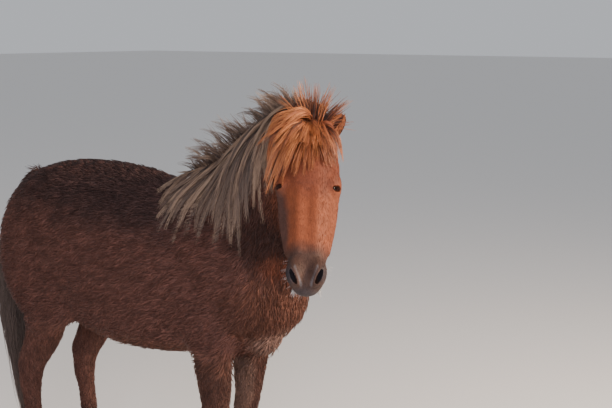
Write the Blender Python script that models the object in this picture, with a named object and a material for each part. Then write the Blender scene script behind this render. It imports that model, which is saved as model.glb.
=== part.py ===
"""A life-size still model of an Icelandic horse in its winter coat, standing with its head turned to its right.

Metres, +X towards the chest, +Y to the horse's left, +Z up, the ground at Z = 0. The flesh is one rounded form, made
of named muscle and bone masses that melt into each other, and thin cuts part it into the named nodes.
"""

import math
import random
from collections import Counter

import bmesh
import bpy
import numpy as np
from mathutils import Matrix, Vector
from mathutils.bvhtree import BVHTree

GAP = 0.0003                   # between parts that touch
BODY_GRID = 0.011              # mesh pitch before thinning
HEAD_GRID = 0.0042
BODY_TRIANGLES = 4200
HEAD_TRIANGLES = 2400

# Pose: where the neck leaves the shoulders and how it turns to the right.
NECK_TURN = math.radians(-36)
HEAD_TURN = math.radians(-55)
HEAD_DROP = math.radians(52)


for leftover in list(bpy.data.objects):
    bpy.data.objects.remove(leftover, do_unlink=True)


# Rounded masses: each is (low corner, high corner, distance function).

def lengths(rows):
    return np.sqrt((rows * rows).sum(axis=1))


def frame_at(origin, turn=0.0, drop=0.0, roll=0.0):
    """A place whose +X is turned about the vertical and then dropped below level."""
    return (
        Matrix.Translation(origin)
        @ Matrix.Rotation(turn, 4, "Z")
        @ Matrix.Rotation(drop, 4, "Y")
        @ Matrix.Rotation(roll, 4, "X")
    )


def mass(centre, radii, place=None, turn=0.0, drop=0.0, roll=0.0):
    """An ellipsoid of flesh or bone."""
    whole = (place or Matrix.Identity(4)) @ frame_at(centre, turn, drop, roll)
    rotation = np.array(whole.to_3x3())
    middle = np.array(whole.translation)
    size = np.array(radii)
    reach = np.sqrt((rotation**2) @ (size**2))

    def distance(points):
        local = (points - middle) @ rotation
        near = lengths(local / size)
        steep = lengths(local / size**2)
        return near * (near - 1.0) / np.maximum(steep, 1e-9)

    return middle - reach, middle + reach, distance


def smooth_rows(rows, per_span):
    """A smooth curve through the rows of a table, with per_span steps between each two."""
    rows = np.array(rows, float)
    padded = np.vstack([2 * rows[0] - rows[1], rows, 2 * rows[-1] - rows[-2]])
    out = []
    for i in range(len(rows) - 1):
        a, b, c, d = padded[i : i + 4]
        for t in np.arange(per_span) / per_span:
            out.append(
                0.5 * (2 * b + (c - a) * t + (2 * a - 5 * b + 4 * c - d) * t**2 + (3 * b - a - 3 * c + d) * t**3)
            )
    out.append(rows[-1])
    return np.array(out)


def limb(stations, place=None, per_span=3, square=2.0, dorsal=(0, 0, 1)):
    """Flesh round a bent axis. A station is (x, y, z, half width, reach up, reach down), with up along dorsal."""
    rows = smooth_rows(stations, per_span)
    axis = rows[:, :3]
    along = np.gradient(axis, axis=0)
    along /= lengths(along)[:, None]
    up = np.array(dorsal, float) - along * (along @ np.array(dorsal, float))[:, None]
    up /= lengths(up)[:, None]
    side = np.cross(up, along)
    if place is not None:
        rotation = np.array(place.to_3x3())
        axis = axis @ rotation.T + np.array(place.translation)
        along, up, side = along @ rotation.T, up @ rotation.T, side @ rotation.T
    widths, ups, downs = rows[:, 3], rows[:, 4], rows[:, 5]
    reach = np.max(rows[:, 3:6], axis=1)[:, None]

    def distance(points):
        best = np.full(len(points), 1e9)
        at = np.zeros(len(points))
        for i in range(len(axis) - 1):
            step = axis[i + 1] - axis[i]
            share = np.clip((points - axis[i]) @ step / (step @ step), 0, 1)
            far = lengths(points - axis[i] - share[:, None] * step)
            closer = far < best
            best[closer] = far[closer]
            at[closer] = i + share[closer]
        low = np.minimum(at.astype(int), len(axis) - 2)
        part = (at - low)[:, None]

        def between(values):
            if values.ndim == 1:
                return values[low] * (1 - part[:, 0]) + values[low + 1] * part[:, 0]
            return values[low] * (1 - part) + values[low + 1] * part

        offset = points - between(axis)
        sideways = (offset * between(side)).sum(axis=1)
        upwards = (offset * between(up)).sum(axis=1)
        beyond = (offset * between(along)).sum(axis=1)
        beyond = np.where((at <= 0) | (at >= len(axis) - 1), np.abs(beyond), 0)
        tall = np.where(upwards > 0, between(ups), between(downs))
        share = ((np.abs(sideways) / between(widths)) ** square + (np.abs(upwards) / tall) ** square) ** (1 / square)
        out = np.sqrt(sideways**2 + upwards**2)
        across = out - out / np.maximum(share, 1e-6)
        across = np.where(share < 1e-6, -np.minimum(between(widths), tall), across)
        return np.where(beyond > 0, np.sqrt(np.maximum(across, 0) ** 2 + beyond**2), across)

    return (axis - reach).min(axis=0), (axis + reach).max(axis=0), distance


FAR = 0.3                      # distance that stands for open air in the grid


class Flesh:
    """A grid of distances to the skin, in a frame of its own. Masses are added to it and cut from it."""

    def __init__(self, low, high, pitch, place=None):
        self.place = place or Matrix.Identity(4)
        self.low = np.array(low, float)
        self.pitch = pitch
        self.count = np.ceil((np.array(high) - self.low) / pitch).astype(int) + 1
        self.field = np.full(self.count, FAR)

    def window(self, shape, margin):
        low, high, distance = shape
        inverse = self.place.inverted()
        rotation = np.array(inverse.to_3x3())
        centre = rotation @ ((low + high) / 2) + np.array(inverse.translation)
        half = np.abs(rotation) @ ((high - low) / 2) + margin
        first = np.clip(np.floor((centre - half - self.low) / self.pitch).astype(int), 0, self.count)
        last = np.clip(np.ceil((centre + half - self.low) / self.pitch).astype(int) + 1, 0, self.count)
        if (last <= first).any():
            return None, None
        lines = (self.low[i] + self.pitch * np.arange(first[i], last[i]) for i in range(3))
        grids = np.meshgrid(*lines, indexing="ij")
        points = np.stack([g.ravel() for g in grids], axis=1)
        points = points @ np.array(self.place.to_3x3()).T + np.array(self.place.translation)
        where = tuple(slice(a, b) for a, b in zip(first, last))
        return where, distance(points).reshape(grids[0].shape)

    def add(self, shape, melt=0.03):
        where, new = self.window(shape, 2 * melt + 2 * self.pitch)
        if where is None:
            return
        old = self.field[where]
        near = np.maximum(melt - np.abs(old - new), 0) / melt
        self.field[where] = np.minimum(old, new) - near * near * melt / 4

    def cut(self, shape, melt=0.004):
        where, new = self.window(shape, 2 * melt + 2 * self.pitch)
        if where is None:
            return
        old = self.field[where]
        near = np.maximum(melt - np.abs(old + new), 0) / melt
        self.field[where] = np.maximum(old, -new) + near * near * melt / 4

    def skin(self):
        """Points and quads of the surface, one point in each grid cell that it crosses."""
        field = self.field.copy()
        for end in (0, -1):
            field[end, :, :] = field[:, end, :] = field[:, :, end] = FAR
        fill_crossings(field)
        cells = np.array(field.shape) - 1
        corners = [(a, b, c) for a in (0, 1) for b in (0, 1) for c in (0, 1)]

        def shifted(a, b, c):
            return field[a : cells[0] + a, b : cells[1] + b, c : cells[2] + c]

        inside = sum((shifted(*corner) < 0).astype(np.int8) for corner in corners)
        crossed = (inside > 0) & (inside < 8)
        at = np.argwhere(crossed)
        number = np.full(field.shape, -1)
        number[tuple(at.T)] = np.arange(len(at))
        total = np.zeros((len(at), 3))
        hits = np.zeros(len(at))
        for corner in corners:
            for axis in range(3):
                if corner[axis]:
                    continue
                other = list(corner)
                other[axis] = 1
                first = field[tuple((at + corner).T)]
                second = field[tuple((at + other).T)]
                hit = (first < 0) != (second < 0)
                share = np.where(hit, first / np.where(hit, first - second, 1), 0)
                spot = np.array(corner, float)[None, :] + np.eye(3)[axis] * share[:, None]
                total += spot * hit[:, None]
                hits += hit
        points = self.low + (at + total / hits[:, None]) * self.pitch
        quads = []
        for axis in range(3):
            a, b = [k for k in range(3) if k != axis]
            start = np.argwhere((np.take(field, range(field.shape[axis] - 1), axis) < 0)
                                != (np.take(field, range(1, field.shape[axis]), axis) < 0))
            start = start[(start[:, a] > 0) & (start[:, b] > 0)]
            back_a, back_b = np.eye(3, dtype=int)[a], np.eye(3, dtype=int)[b]
            ring = np.stack([number[tuple((start - da - db).T)]
                             for da, db in ((0 * back_a, 0 * back_b), (back_a, 0 * back_b),
                                            (back_a, back_b), (0 * back_a, back_b))], axis=1)
            outward = (field[tuple(start.T)] < 0) != (axis == 1)
            ring[~outward] = ring[~outward][:, ::-1]
            quads.append(ring)
        points = points @ np.array(self.place.to_3x3()).T + np.array(self.place.translation)
        return points, np.vstack(quads)


def fill_crossings(field):
    """Fills grid faces whose two diagonals differ, where the skin would meet itself along an edge."""
    for _ in range(6):
        filled = 0
        for axis in range(3):
            across = [k for k in range(3) if k != axis]

            def corner(first, second):
                window = [slice(None)] * 3
                window[across[0]] = slice(first, field.shape[across[0]] - 1 + first)
                window[across[1]] = slice(second, field.shape[across[1]] - 1 + second)
                return field[tuple(window)]

            one, two, three, four = corner(0, 0), corner(1, 1), corner(0, 1), corner(1, 0)
            split = ((one < 0) == (two < 0)) & ((three < 0) == (four < 0)) & ((one < 0) != (three < 0))
            filled += split.sum()
            for values in (one, two, three, four):
                values[split & (values >= 0)] = -1e-4
        if not filled:
            break


# The trunk, along the spine: x, top, bottom and half width over the coat.
TRUNK = (
    (-1.030, 1.240, 1.060, 0.095),
    (-0.985, 1.320, 0.970, 0.165),
    (-0.88, 1.395, 0.890, 0.215),
    (-0.74, 1.430, 0.815, 0.245),
    (-0.58, 1.434, 0.745, 0.266),
    (-0.42, 1.420, 0.702, 0.280),
    (-0.25, 1.392, 0.704, 0.276),
    (-0.08, 1.365, 0.728, 0.250),
    (0.08, 1.335, 0.765, 0.214),
    (0.20, 1.280, 0.790, 0.190),
    (0.30, 1.200, 0.835, 0.165),
    (0.365, 1.130, 0.890, 0.125),
    (0.398, 1.080, 0.935, 0.075),
)
BELLY_LINE = 0.47              # height of the widest part, as a share of the depth


def trunk():
    rows = []
    for x, top, bottom, wide in TRUNK:
        middle = bottom + BELLY_LINE * (top - bottom)
        rows.append((x, 0, middle, wide, top - middle, middle - bottom))
    return limb(rows, square=2.15)


# The neck before it turns: crest point and throat point (forward, height) and half width of each station.
NECK = (
    (-0.070, 1.370, 0.340, 0.900, 0.180),
    (0.065, 1.455, 0.412, 1.030, 0.155),
    (0.180, 1.530, 0.458, 1.145, 0.132),
    (0.290, 1.592, 0.500, 1.250, 0.113),
    (0.385, 1.635, 0.540, 1.335, 0.101),
    (0.470, 1.655, 0.582, 1.388, 0.092),
    (0.535, 1.650, 0.620, 1.428, 0.080),
)


def neck_rows():
    """The neck's stations once it has turned to the right: axis point, half width and half depth twice."""
    rows = []
    x = y = 0.0
    before = None
    for i, (crest_x, crest_z, throat_x, throat_z, wide) in enumerate(NECK):
        ahead = (crest_x + throat_x) / 2
        turn = NECK_TURN * (i / (len(NECK) - 1)) ** 1.3
        step = ahead if before is None else ahead - before
        x += step * math.cos(turn)
        y += step * math.sin(turn)
        before = ahead
        half = math.dist((crest_x, crest_z), (throat_x, throat_z)) / 2
        rows.append((x, y, (crest_z + throat_z) / 2, wide, half, half))
    return rows


def neck():
    return limb(neck_rows(), square=2.0)


POLL_AHEAD = 0.030            # poll from the last neck station, forward and up
POLL_ABOVE = 0.100


def head_place():
    x, y, z = neck_rows()[-1][:3]
    ahead = Vector((math.cos(NECK_TURN), math.sin(NECK_TURN), 0)) * POLL_AHEAD
    return frame_at(Vector((x, y, z + POLL_ABOVE)) + ahead, HEAD_TURN, HEAD_DROP)


HEAD = head_place()

# The head in its own frame, +X down the face: station, top of the face, underside of the jaw, half width.
SKULL = (
    (-0.030, -0.012, -0.150, 0.072),
    (0.040, 0.006, -0.185, 0.088),
    (0.110, 0.014, -0.218, 0.093),
    (0.180, 0.014, -0.226, 0.093),
    (0.250, 0.006, -0.208, 0.091),
    (0.320, 0.000, -0.176, 0.085),
    (0.390, -0.004, -0.148, 0.074),
    (0.450, -0.008, -0.128, 0.063),
    (0.500, -0.014, -0.118, 0.056),
    (0.540, -0.026, -0.108, 0.046),
)
EYE_AT = (0.203, 0.0815, -0.045)
EYE_RADIUS = 0.0200
NOSTRIL_AT = (0.512, 0.0445, -0.020)


def sides(point, side):
    return (point[0], point[1] * side, point[2])


# Masses of the head in its own frame: centre on the left side, radii, turn, drop and melt.
FACE = {
    "jaw": ((0.145, 0.056, -0.140), (0.108, 0.039, 0.096), 0.0, -0.25, 0.025),
    "temple": ((0.110, 0.070, -0.062), (0.075, 0.022, 0.030), 0.0, 0.0, 0.025),
    "brow": ((0.190, 0.076, -0.030), (0.040, 0.025, 0.026), 0.0, 0.0, 0.02),
    "cheek bone": ((0.285, 0.062, -0.078), (0.080, 0.015, 0.014), -0.13, 0.0, 0.02),
    "nostril wing": ((0.512, 0.037, -0.036), (0.044, 0.027, 0.034), 0.0, 0.0, 0.02),
    "eye rim": (EYE_AT, (0.040, 0.0235, 0.031), 0.0, 0.0, 0.02),
    "ear root": ((0.004, 0.056, -0.022), (0.036, 0.028, 0.034), 0.0, 0.0, 0.02),
}
LIPS = {
    "upper lip": ((0.543, 0, -0.068), (0.034, 0.044, 0.034), 0.02),
    "lower lip": ((0.528, 0, -0.104), (0.031, 0.036, 0.021), 0.010),
    "chin": ((0.490, 0, -0.118), (0.034, 0.034, 0.022), 0.02),
}


def head_flesh(flesh):
    rows = []
    for x, top, bottom, wide in SKULL:
        middle = top + 0.45 * (bottom - top)
        rows.append((x, 0, middle, wide, top - middle, middle - bottom))
    flesh.add(limb(rows, HEAD, square=2.35), 0.02)
    forehead = mass((0.125, 0, -0.028), (0.105, 0.074, 0.047), HEAD)
    flesh.add(forehead, 0.03)
    for centre, radii, turn, drop, melt in FACE.values():
        for side in (1, -1):
            flesh.add(mass(sides(centre, side), radii, HEAD, turn * side, drop), melt)
    for centre, radii, melt in LIPS.values():
        flesh.add(mass(centre, radii, HEAD), melt)


def lid(side, edge):
    """A rolled lid over the eyeball, from the inner corner to the outer one: edge is 1 above and -1 below."""
    x, y, z = EYE_AT
    row = []
    for share in (-1.0, -0.5, 0.0, 0.5, 1.0):
        bow = math.sqrt(max(0.0, 1 - 0.92 * share * share))
        row.append((
            x - 0.0225 * share,
            (y + 0.0150 + 0.0065 * bow) * side,
            z + 0.0010 + 0.0030 * share + edge * 0.0118 * bow,
            0.0042, 0.0042, 0.0042,
        ))
    return limb(row, HEAD)


def carve_head(flesh):
    flesh.cut(mass((0.545, 0, -0.0905), (0.085, 0.075, 0.0016), HEAD, drop=-0.10), 0.006)
    for side in (1, -1):
        at = sides(NOSTRIL_AT, side)
        flesh.cut(mass(at, (0.030, 0.0100, 0.0200), HEAD, turn=-0.26 * side, drop=0.25, roll=-0.5 * side), 0.006)
        opening = (EYE_AT[0], EYE_AT[1] + 0.020, EYE_AT[2])
        flesh.cut(mass(sides(opening, side), (0.0205, 0.0135, 0.0105), HEAD, drop=0.12), 0.004)
        for edge in (1, -1):
            flesh.add(lid(side, edge), 0.004)


# Where each ear grows, which way it points and which way its cup opens, for the left side.
EAR_AT = (0.022, 0.054, -0.012)
EAR_ALONG = (-0.092, 0.050, -0.036)
EAR_OPENS = (0.50, 0.55, 0.65)
EAR_LENGTH = 0.140
# Along the ear: share of its length, half width, and how far the front bulges out (+) or is cupped (-).
EAR = (
    (0.00, 0.0230, 0.70),
    (0.20, 0.0260, 0.50),
    (0.34, 0.0300, -0.30),
    (0.46, 0.0320, -0.60),
    (0.60, 0.0300, -0.62),
    (0.74, 0.0245, -0.58),
    (0.88, 0.0160, -0.50),
    (0.97, 0.0070, -0.35),
)


def ear_place(side):
    along = Vector(sides(EAR_ALONG, side)).normalized()
    opens = Vector(sides(EAR_OPENS, side))
    opens = (opens - along * opens.dot(along)).normalized()
    across = opens.cross(along)
    frame = Matrix((along, across, opens)).transposed().to_4x4()
    return HEAD @ Matrix.Translation(sides(EAR_AT, side)) @ frame


def ear(side):
    """A cupped ear on a flat root. Its tip bends in towards the poll."""
    back = 7
    front = 5
    place = ear_place(side)
    rings = []
    for share, wide, bulge in EAR:
        centre = Vector((share * EAR_LENGTH, -0.014 * side * share**2, 0.012 * share**2))
        ring = []
        for i in range(back):
            angle = math.pi * (1 + i / (back - 1))
            ring.append(centre + Vector((0, wide * math.cos(angle), 0.80 * wide * math.sin(angle))))
        for i in range(1, front + 1):
            angle = math.pi * i / (front + 1)
            ring.append(centre + Vector((0, wide * math.cos(angle), bulge * wide * math.sin(angle))))
        rings.append([place @ p for p in ring])
    tip = place @ Vector((EAR_LENGTH, -0.015 * side, 0.012))
    return loft(rings, tip)


def loft(rings, tip=None):
    """Points and faces through rings of like count, closed flat at the first and by the tip or flat at the last."""
    points = [p for ring in rings for p in ring]
    count = len(rings[0])
    faces = [tuple(reversed(range(count)))]
    for i in range(len(rings) - 1):
        for k in range(count):
            a, b = i * count + k, i * count + (k + 1) % count
            faces.append((a, b, b + count))
            faces.append((a, b + count, a + count))
    last = (len(rings) - 1) * count
    if tip is None:
        faces.append(tuple(range(last, last + count)))
    else:
        points.append(tip)
        faces += [(last + k, last + (k + 1) % count, len(points) - 1) for k in range(count)]
    return points, faces


# Muscles and bones that show in the trunk's outline: centre on the left side, radii, drop and melt.
MUSCLES = {
    "shoulder blade": ((0.125, 0.112, 1.120), (0.105, 0.085, 0.250), -0.55, 0.06),
    "upper arm": ((0.060, 0.148, 0.940), (0.145, 0.070, 0.115), 0.35, 0.05),
    "point of the shoulder": ((0.260, 0.110, 0.990), (0.090, 0.072, 0.105), -0.40, 0.05),
    "breast": ((0.315, 0.060, 0.960), (0.078, 0.072, 0.110), 0.25, 0.04),
    "croup": ((-0.72, 0.092, 1.230), (0.230, 0.145, 0.150), -0.10, 0.06),
    "point of the hip": ((-0.50, 0.180, 1.220), (0.085, 0.055, 0.060), 0.0, 0.08),
    "thigh": ((-0.885, 0.120, 1.035), (0.160, 0.110, 0.235), -0.10, 0.06),
    "stifle": ((-0.665, 0.168, 0.860), (0.080, 0.062, 0.120), 0.25, 0.05),
}


def build_trunk(flesh):
    flesh.add(trunk(), 0.03)
    withers = mass((-0.01, 0, 1.280), (0.24, 0.065, 0.105))
    flesh.add(withers, 0.07)
    for centre, radii, drop, melt in MUSCLES.values():
        for side in (1, -1):
            flesh.add(mass(sides(centre, side), radii, drop=drop), melt)
    girth = mass((0.150, 0, 0.830), (0.175, 0.095, 0.085))
    flesh.add(girth, 0.06)
    flesh.add(neck(), 0.07)
    flesh.add(limb(TAIL_ROOT, dorsal=(1, 0, 0)), 0.04)


# Legs: x, y, z, half width, reach forward and reach back.
FORELEG = (
    (0.105, 0.126, 0.930, 0.070, 0.120, 0.130),
    (0.112, 0.124, 0.835, 0.068, 0.102, 0.106),
    (0.120, 0.119, 0.745, 0.062, 0.082, 0.082),
    (0.124, 0.115, 0.645, 0.055, 0.065, 0.065),
    (0.123, 0.113, 0.550, 0.048, 0.054, 0.052),
    (0.114, 0.114, 0.475, 0.045, 0.050, 0.047),
    (0.118, 0.114, 0.415, 0.048, 0.051, 0.048),
    (0.118, 0.114, 0.365, 0.044, 0.045, 0.044),
    (0.115, 0.114, 0.310, 0.036, 0.037, 0.040),
    (0.115, 0.114, 0.240, 0.034, 0.035, 0.041),
    (0.116, 0.114, 0.185, 0.036, 0.037, 0.048),
    (0.118, 0.114, 0.145, 0.042, 0.043, 0.058),
    (0.136, 0.115, 0.103, 0.041, 0.040, 0.056),
    (0.151, 0.116, 0.070, 0.049, 0.048, 0.060),
    (0.157, 0.116, 0.040, 0.051, 0.051, 0.060),
    (0.157, 0.116, 0.010, 0.051, 0.051, 0.060),
)
HINDLEG = (
    (-0.840, 0.105, 1.150, 0.080, 0.110, 0.110),
    (-0.835, 0.128, 1.030, 0.110, 0.170, 0.170),
    (-0.815, 0.142, 0.920, 0.105, 0.172, 0.165),
    (-0.790, 0.146, 0.820, 0.086, 0.135, 0.128),
    (-0.800, 0.144, 0.730, 0.068, 0.100, 0.098),
    (-0.838, 0.140, 0.640, 0.055, 0.072, 0.072),
    (-0.885, 0.137, 0.560, 0.047, 0.056, 0.056),
    (-0.912, 0.135, 0.495, 0.045, 0.052, 0.056),
    (-0.918, 0.134, 0.440, 0.042, 0.047, 0.050),
    (-0.912, 0.134, 0.380, 0.036, 0.038, 0.041),
    (-0.905, 0.134, 0.290, 0.035, 0.036, 0.042),
    (-0.900, 0.134, 0.210, 0.037, 0.038, 0.049),
    (-0.894, 0.134, 0.160, 0.043, 0.044, 0.060),
    (-0.872, 0.135, 0.112, 0.042, 0.041, 0.058),
    (-0.855, 0.136, 0.072, 0.050, 0.049, 0.061),
    (-0.849, 0.136, 0.040, 0.052, 0.052, 0.061),
    (-0.849, 0.136, 0.010, 0.052, 0.052, 0.061),
)
LEFT_FORE_BACK = 0.08          # the left foreleg stands this far behind the right one
LEFT_HIND_AHEAD = 0.06


def leg_shift(side, fore):
    if fore:
        return -LEFT_FORE_BACK if side > 0 else 0.0
    return LEFT_HIND_AHEAD if side > 0 else 0.0


def leg(stations, side, shift):
    """One leg. The shift grows from nothing at the top to the whole at the hoof."""
    rows = []
    top, low = stations[0][2], stations[-1][2]
    for x, y, z, wide, fore, aft in stations:
        share = (top - z) / (top - low)
        rows.append((x + shift * share, y * side, z, wide, fore, aft))
    return limb(rows, square=2.1, dorsal=(1, 0, 0))


def build_legs(flesh):
    for side in (1, -1):
        hind = leg_shift(side, False)
        flesh.add(leg(FORELEG, side, leg_shift(side, True)), 0.035)
        flesh.add(leg(HINDLEG, side, hind), 0.05)
        hock = hind * 0.5
        flesh.add(mass((-0.952 + hock, 0.135 * side, 0.540), (0.024, 0.020, 0.050), drop=0.10), 0.02)
        flesh.add(mass((-0.915 + hock, 0.137 * side, 0.640), (0.022, 0.018, 0.110), drop=0.42), 0.04)


# The tail: its root on the croup, and its whole length. x, y, z, half width, reach forward and back.
TAIL_ROOT = (
    (-0.950, 0, 1.330, 0.050, 0.050, 0.050),
    (-1.035, 0, 1.285, 0.042, 0.043, 0.043),
    (-1.095, 0, 1.205, 0.038, 0.036, 0.038),
    (-1.125, 0, 1.110, 0.030, 0.028, 0.030),
)
TAIL = (
    (-1.084, 0.000, 1.225, 0.044, 0.042, 0.045),
    (-1.105, 0.000, 1.175, 0.050, 0.042, 0.052),
    (-1.122, 0.000, 1.110, 0.064, 0.046, 0.062),
    (-1.137, 0.002, 1.020, 0.080, 0.050, 0.070),
    (-1.146, 0.004, 0.880, 0.100, 0.058, 0.078),
    (-1.146, 0.004, 0.690, 0.108, 0.062, 0.074),
    (-1.140, 0.002, 0.490, 0.092, 0.056, 0.060),
    (-1.132, 0.000, 0.310, 0.058, 0.038, 0.040),
    (-1.126, 0.000, 0.180, 0.020, 0.014, 0.016),
)
# Locks of mane, forelock and tail: flat ribbons with a diamond section that taper to a point.
ROOT_SUNK = 0.022              # how far a lock's root goes in below the coat
TAIL_CORE = (
    (-1.108, 0.000, 1.165, 0.032, 0.030, 0.032),
    (-1.120, 0.000, 1.100, 0.046, 0.036, 0.044),
    (-1.137, 0.002, 0.960, 0.044, 0.032, 0.040),
    (-1.143, 0.004, 0.820, 0.028, 0.020, 0.026),
    (-1.143, 0.004, 0.740, 0.014, 0.010, 0.012),
)
LOCK_STEPS = 5                 # bends in a lock, and fewer in a short tuft
FIRST_STEP = 0.13              # share of a lock's length up to its first bend
TUFT_STEPS = 3
DOWN = Vector((0, 0, -1))
draw = random.Random(7)


def varied(share):
    """A factor near one."""
    return 1 + draw.uniform(-share, share)


class Skin:
    """The surface that locks lie on, and push clear of."""

    def __init__(self, objects):
        points = []
        faces = []
        for obj in objects:
            base = len(points)
            points += [vert.co.copy() for vert in obj.data.vertices]
            faces += [tuple(base + i for i in poly.vertices) for poly in obj.data.polygons]
        self.tree = BVHTree.FromPolygons(points, faces)

    def nearest(self, point):
        spot, normal, _, _ = self.tree.find_nearest(point)
        return spot, normal, (point - spot).dot(normal)

    def under(self, point):
        """The skin below a point, straight down."""
        return self.tree.ray_cast(point + Vector((0, 0, 0.4)), DOWN)[0]


def drape(root, start, length, skin, lift, weight, sway=(0, 0, 0), steps=LOCK_STEPS):
    """A path that leaves the root along start, bends down by its weight and lies on the skin at a lift."""
    way = Vector(start).normalized()
    spot, normal, _ = skin.nearest(Vector(root))
    jolt = Vector((draw.uniform(-1, 1), draw.uniform(-1, 1), draw.uniform(-1, 1))) * 0.002
    path = [spot - normal * ROOT_SUNK + jolt]
    faces = [normal]
    at = spot
    for i in range(steps):
        step = length * FIRST_STEP if i == 0 else length * (1 - FIRST_STEP) / (steps - 1)
        last = at
        at = last + way * step
        for _ in range(2):
            spot, normal, out = skin.nearest(at)
            if out < lift:
                at = spot + normal * lift
            elif lift * 2 < out < 0.08:
                at = at - normal * (out - lift * 2) * weight * 0.6
            at = last + (at - last).normalized() * step
        way = (at - last).normalized()
        way = (way * (1 - weight) + DOWN * weight + Vector(sway)).normalized()
        path.append(at)
        faces.append((faces[-1] + normal).normalized() if out < 4 * lift else faces[-1])
    return path, faces


def ribbon(path, faces, wide, thick, root=0.75):
    """A closed lock along a path, flat towards the faces' directions."""
    rings = []
    steps = len(path) - 1
    for i in range(steps):
        share = root if i == 0 else 1 - 0.72 * ((i - 1) / (steps - 1)) ** 1.6
        along = (path[i + 1] - path[max(i - 1, 0)]).normalized()
        out = (faces[i] - along * faces[i].dot(along)).normalized()
        side = along.cross(out)
        half = side * wide * share / 2
        flat = out * thick * (0.5 + 0.5 * share) / 2
        rings.append([path[i] + half, path[i] + flat, path[i] - half, path[i] - flat])
    return loft(rings, path[-1])


MANE_LOCKS = 14                # in each of the two layers that fall on the right
MANE_LENGTH = (0.21, 0.33, 0.45, 0.48, 0.31)        # from the withers to the poll
MANE_TUFTS = 14                # short ones that stand up along the crest
MANE_LEFT = 7                  # short ones that fall on the left
MANE_WIDE = 0.050
MANE_FROM = 0.06               # shares of the crest where the mane begins and ends
MANE_TO = 0.96
SEAM_CLEAR = 0.012             # no root comes nearer to the seam between neck and head


def crest(share):
    """A point over the neck's top line, 0 at the withers and 1 at the poll, and the way along it."""
    line = []
    for (crest_x, crest_z, throat_x, _, _), (x, y, _, _, _, _) in zip(NECK, neck_rows()):
        lean = (crest_x - throat_x) / 2
        turn = NECK_TURN * min(max(crest_x / 0.25, 0.0), 0.85)
        line.append((x + lean * math.cos(turn), y + lean * math.sin(turn), crest_z))
    line = smooth_rows(line, 8)
    spot = share * (len(line) - 1)
    low = min(int(spot), len(line) - 2)
    at = line[low] + (line[low + 1] - line[low]) * (spot - low)
    return Vector(at), Vector(line[low + 1] - line[low]).normalized()


def mane_locks(skin, first, last):
    """Ribbons for the stretch of crest between two shares of its length."""
    locks = []

    def places(count):
        for i in range(count):
            share = (i + 0.5 + draw.uniform(-0.25, 0.25)) / count
            if first <= share < last:
                at, along = crest(share)
                top = skin.under(at) or at
                right = along.cross(Vector((0, 0, 1))).normalized()
                yield share, top, along, right

    for layer in range(2):
        for share, top, along, right in places(MANE_LOCKS):
            length = np.interp(share, np.linspace(0, 1, len(MANE_LENGTH)), MANE_LENGTH) * varied(0.12)
            length *= 1 - 0.16 * layer
            start = right * 0.9 + Vector((0, 0, 0.10 + 0.35 * layer)) - along * 0.10
            sway = along * draw.uniform(-0.13, 0.03) - right * 0.10
            root = top + right * (0.014 - 0.012 * layer)
            path, faces = drape(root, start, length, skin, 0.013 + 0.017 * layer, 0.62, sway)
            locks.append(ribbon(path, faces, MANE_WIDE * varied(0.2) * (1 - 0.15 * layer), 0.018))
    for share, top, along, right in places(MANE_TUFTS):
        start = Vector((0, 0, 1)) - along * draw.uniform(0.2, 0.8) * min(1.0, 2.5 * share)
        start += right * draw.uniform(0.1, 0.6)
        length = 0.105 * varied(0.3) * min(1.0, 0.3 + 2.5 * share)
        path, faces = drape(top, start, length, skin, 0.012, 0.02, right * 0.04 - along * 0.05, TUFT_STEPS)
        faces = [right] * len(faces)
        locks.append(ribbon(path, faces, 0.034 * varied(0.2), 0.016))
    for share, top, along, right in places(MANE_LEFT):
        start = Vector((0, 0, 0.6)) - right * 0.8 - along * draw.uniform(0.0, 0.4)
        path, faces = drape(top - right * 0.01, start, 0.15 * varied(0.3), skin, 0.009, 0.33, steps=TUFT_STEPS)
        locks.append(ribbon(path, faces, 0.042 * varied(0.2), 0.014))
    return locks


# The forelock leaves one hub on the poll. Angle (0 down the face, + to the left) and length of its locks.
HUB_AT = (0.000, 0.000, 0.010)
FORELOCK_REACH = (
    (-112, 0.14), (-90, 0.16), (-65, 0.22), (-42, 0.25), (-22, 0.19), (0, 0.14), (25, 0.13), (50, 0.12), (85, 0.10),
)
FORELOCK_LOCKS = 8
FORELOCK_TUFTS = 5


def forelock_locks(skin):
    locks = []
    hub = HEAD @ Vector(HUB_AT)
    ahead, left, out = (Vector(HEAD.col[i][:3]) for i in range(3))
    angles = [angle for angle, _ in FORELOCK_REACH]
    reach = [length for _, length in FORELOCK_REACH]
    for layer in range(2):
        count = FORELOCK_LOCKS - 3 * layer
        for i in range(count):
            angle = angles[0] + (angles[-1] - angles[0]) * (i + 0.5) / count + draw.uniform(-4, 4)
            turn = math.radians(angle)
            flat = ahead * math.cos(turn) + left * math.sin(turn)
            length = np.interp(angle, angles, reach) * varied(0.1) * (1 - 0.22 * layer)
            root = hub + flat * (0.036 - 0.020 * layer)
            start = flat + out * (0.35 + 0.35 * layer)
            path, faces = drape(root, start, length, skin, 0.013 + 0.016 * layer, 0.16, flat * 0.12)
            locks.append(ribbon(path, faces, 0.056 * varied(0.2), 0.015, 0.4))
    for i in range(FORELOCK_TUFTS):
        lean = math.radians(-62 + 124 * (i + 0.5) / FORELOCK_TUFTS)
        start = Vector((0, 0, 1)) * math.cos(lean) + left * math.sin(lean) + out * draw.uniform(-0.25, 0.25)
        length = 0.145 * varied(0.15)
        root = hub - ahead * 0.012 + left * 0.040 * math.sin(lean)
        path, faces = drape(root, start, length, skin, 0.012, 0.02, left * math.sin(lean) * 0.05, TUFT_STEPS)
        locks.append(ribbon(path, [out] * len(faces), 0.034 * varied(0.2), 0.015))
    return locks


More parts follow.
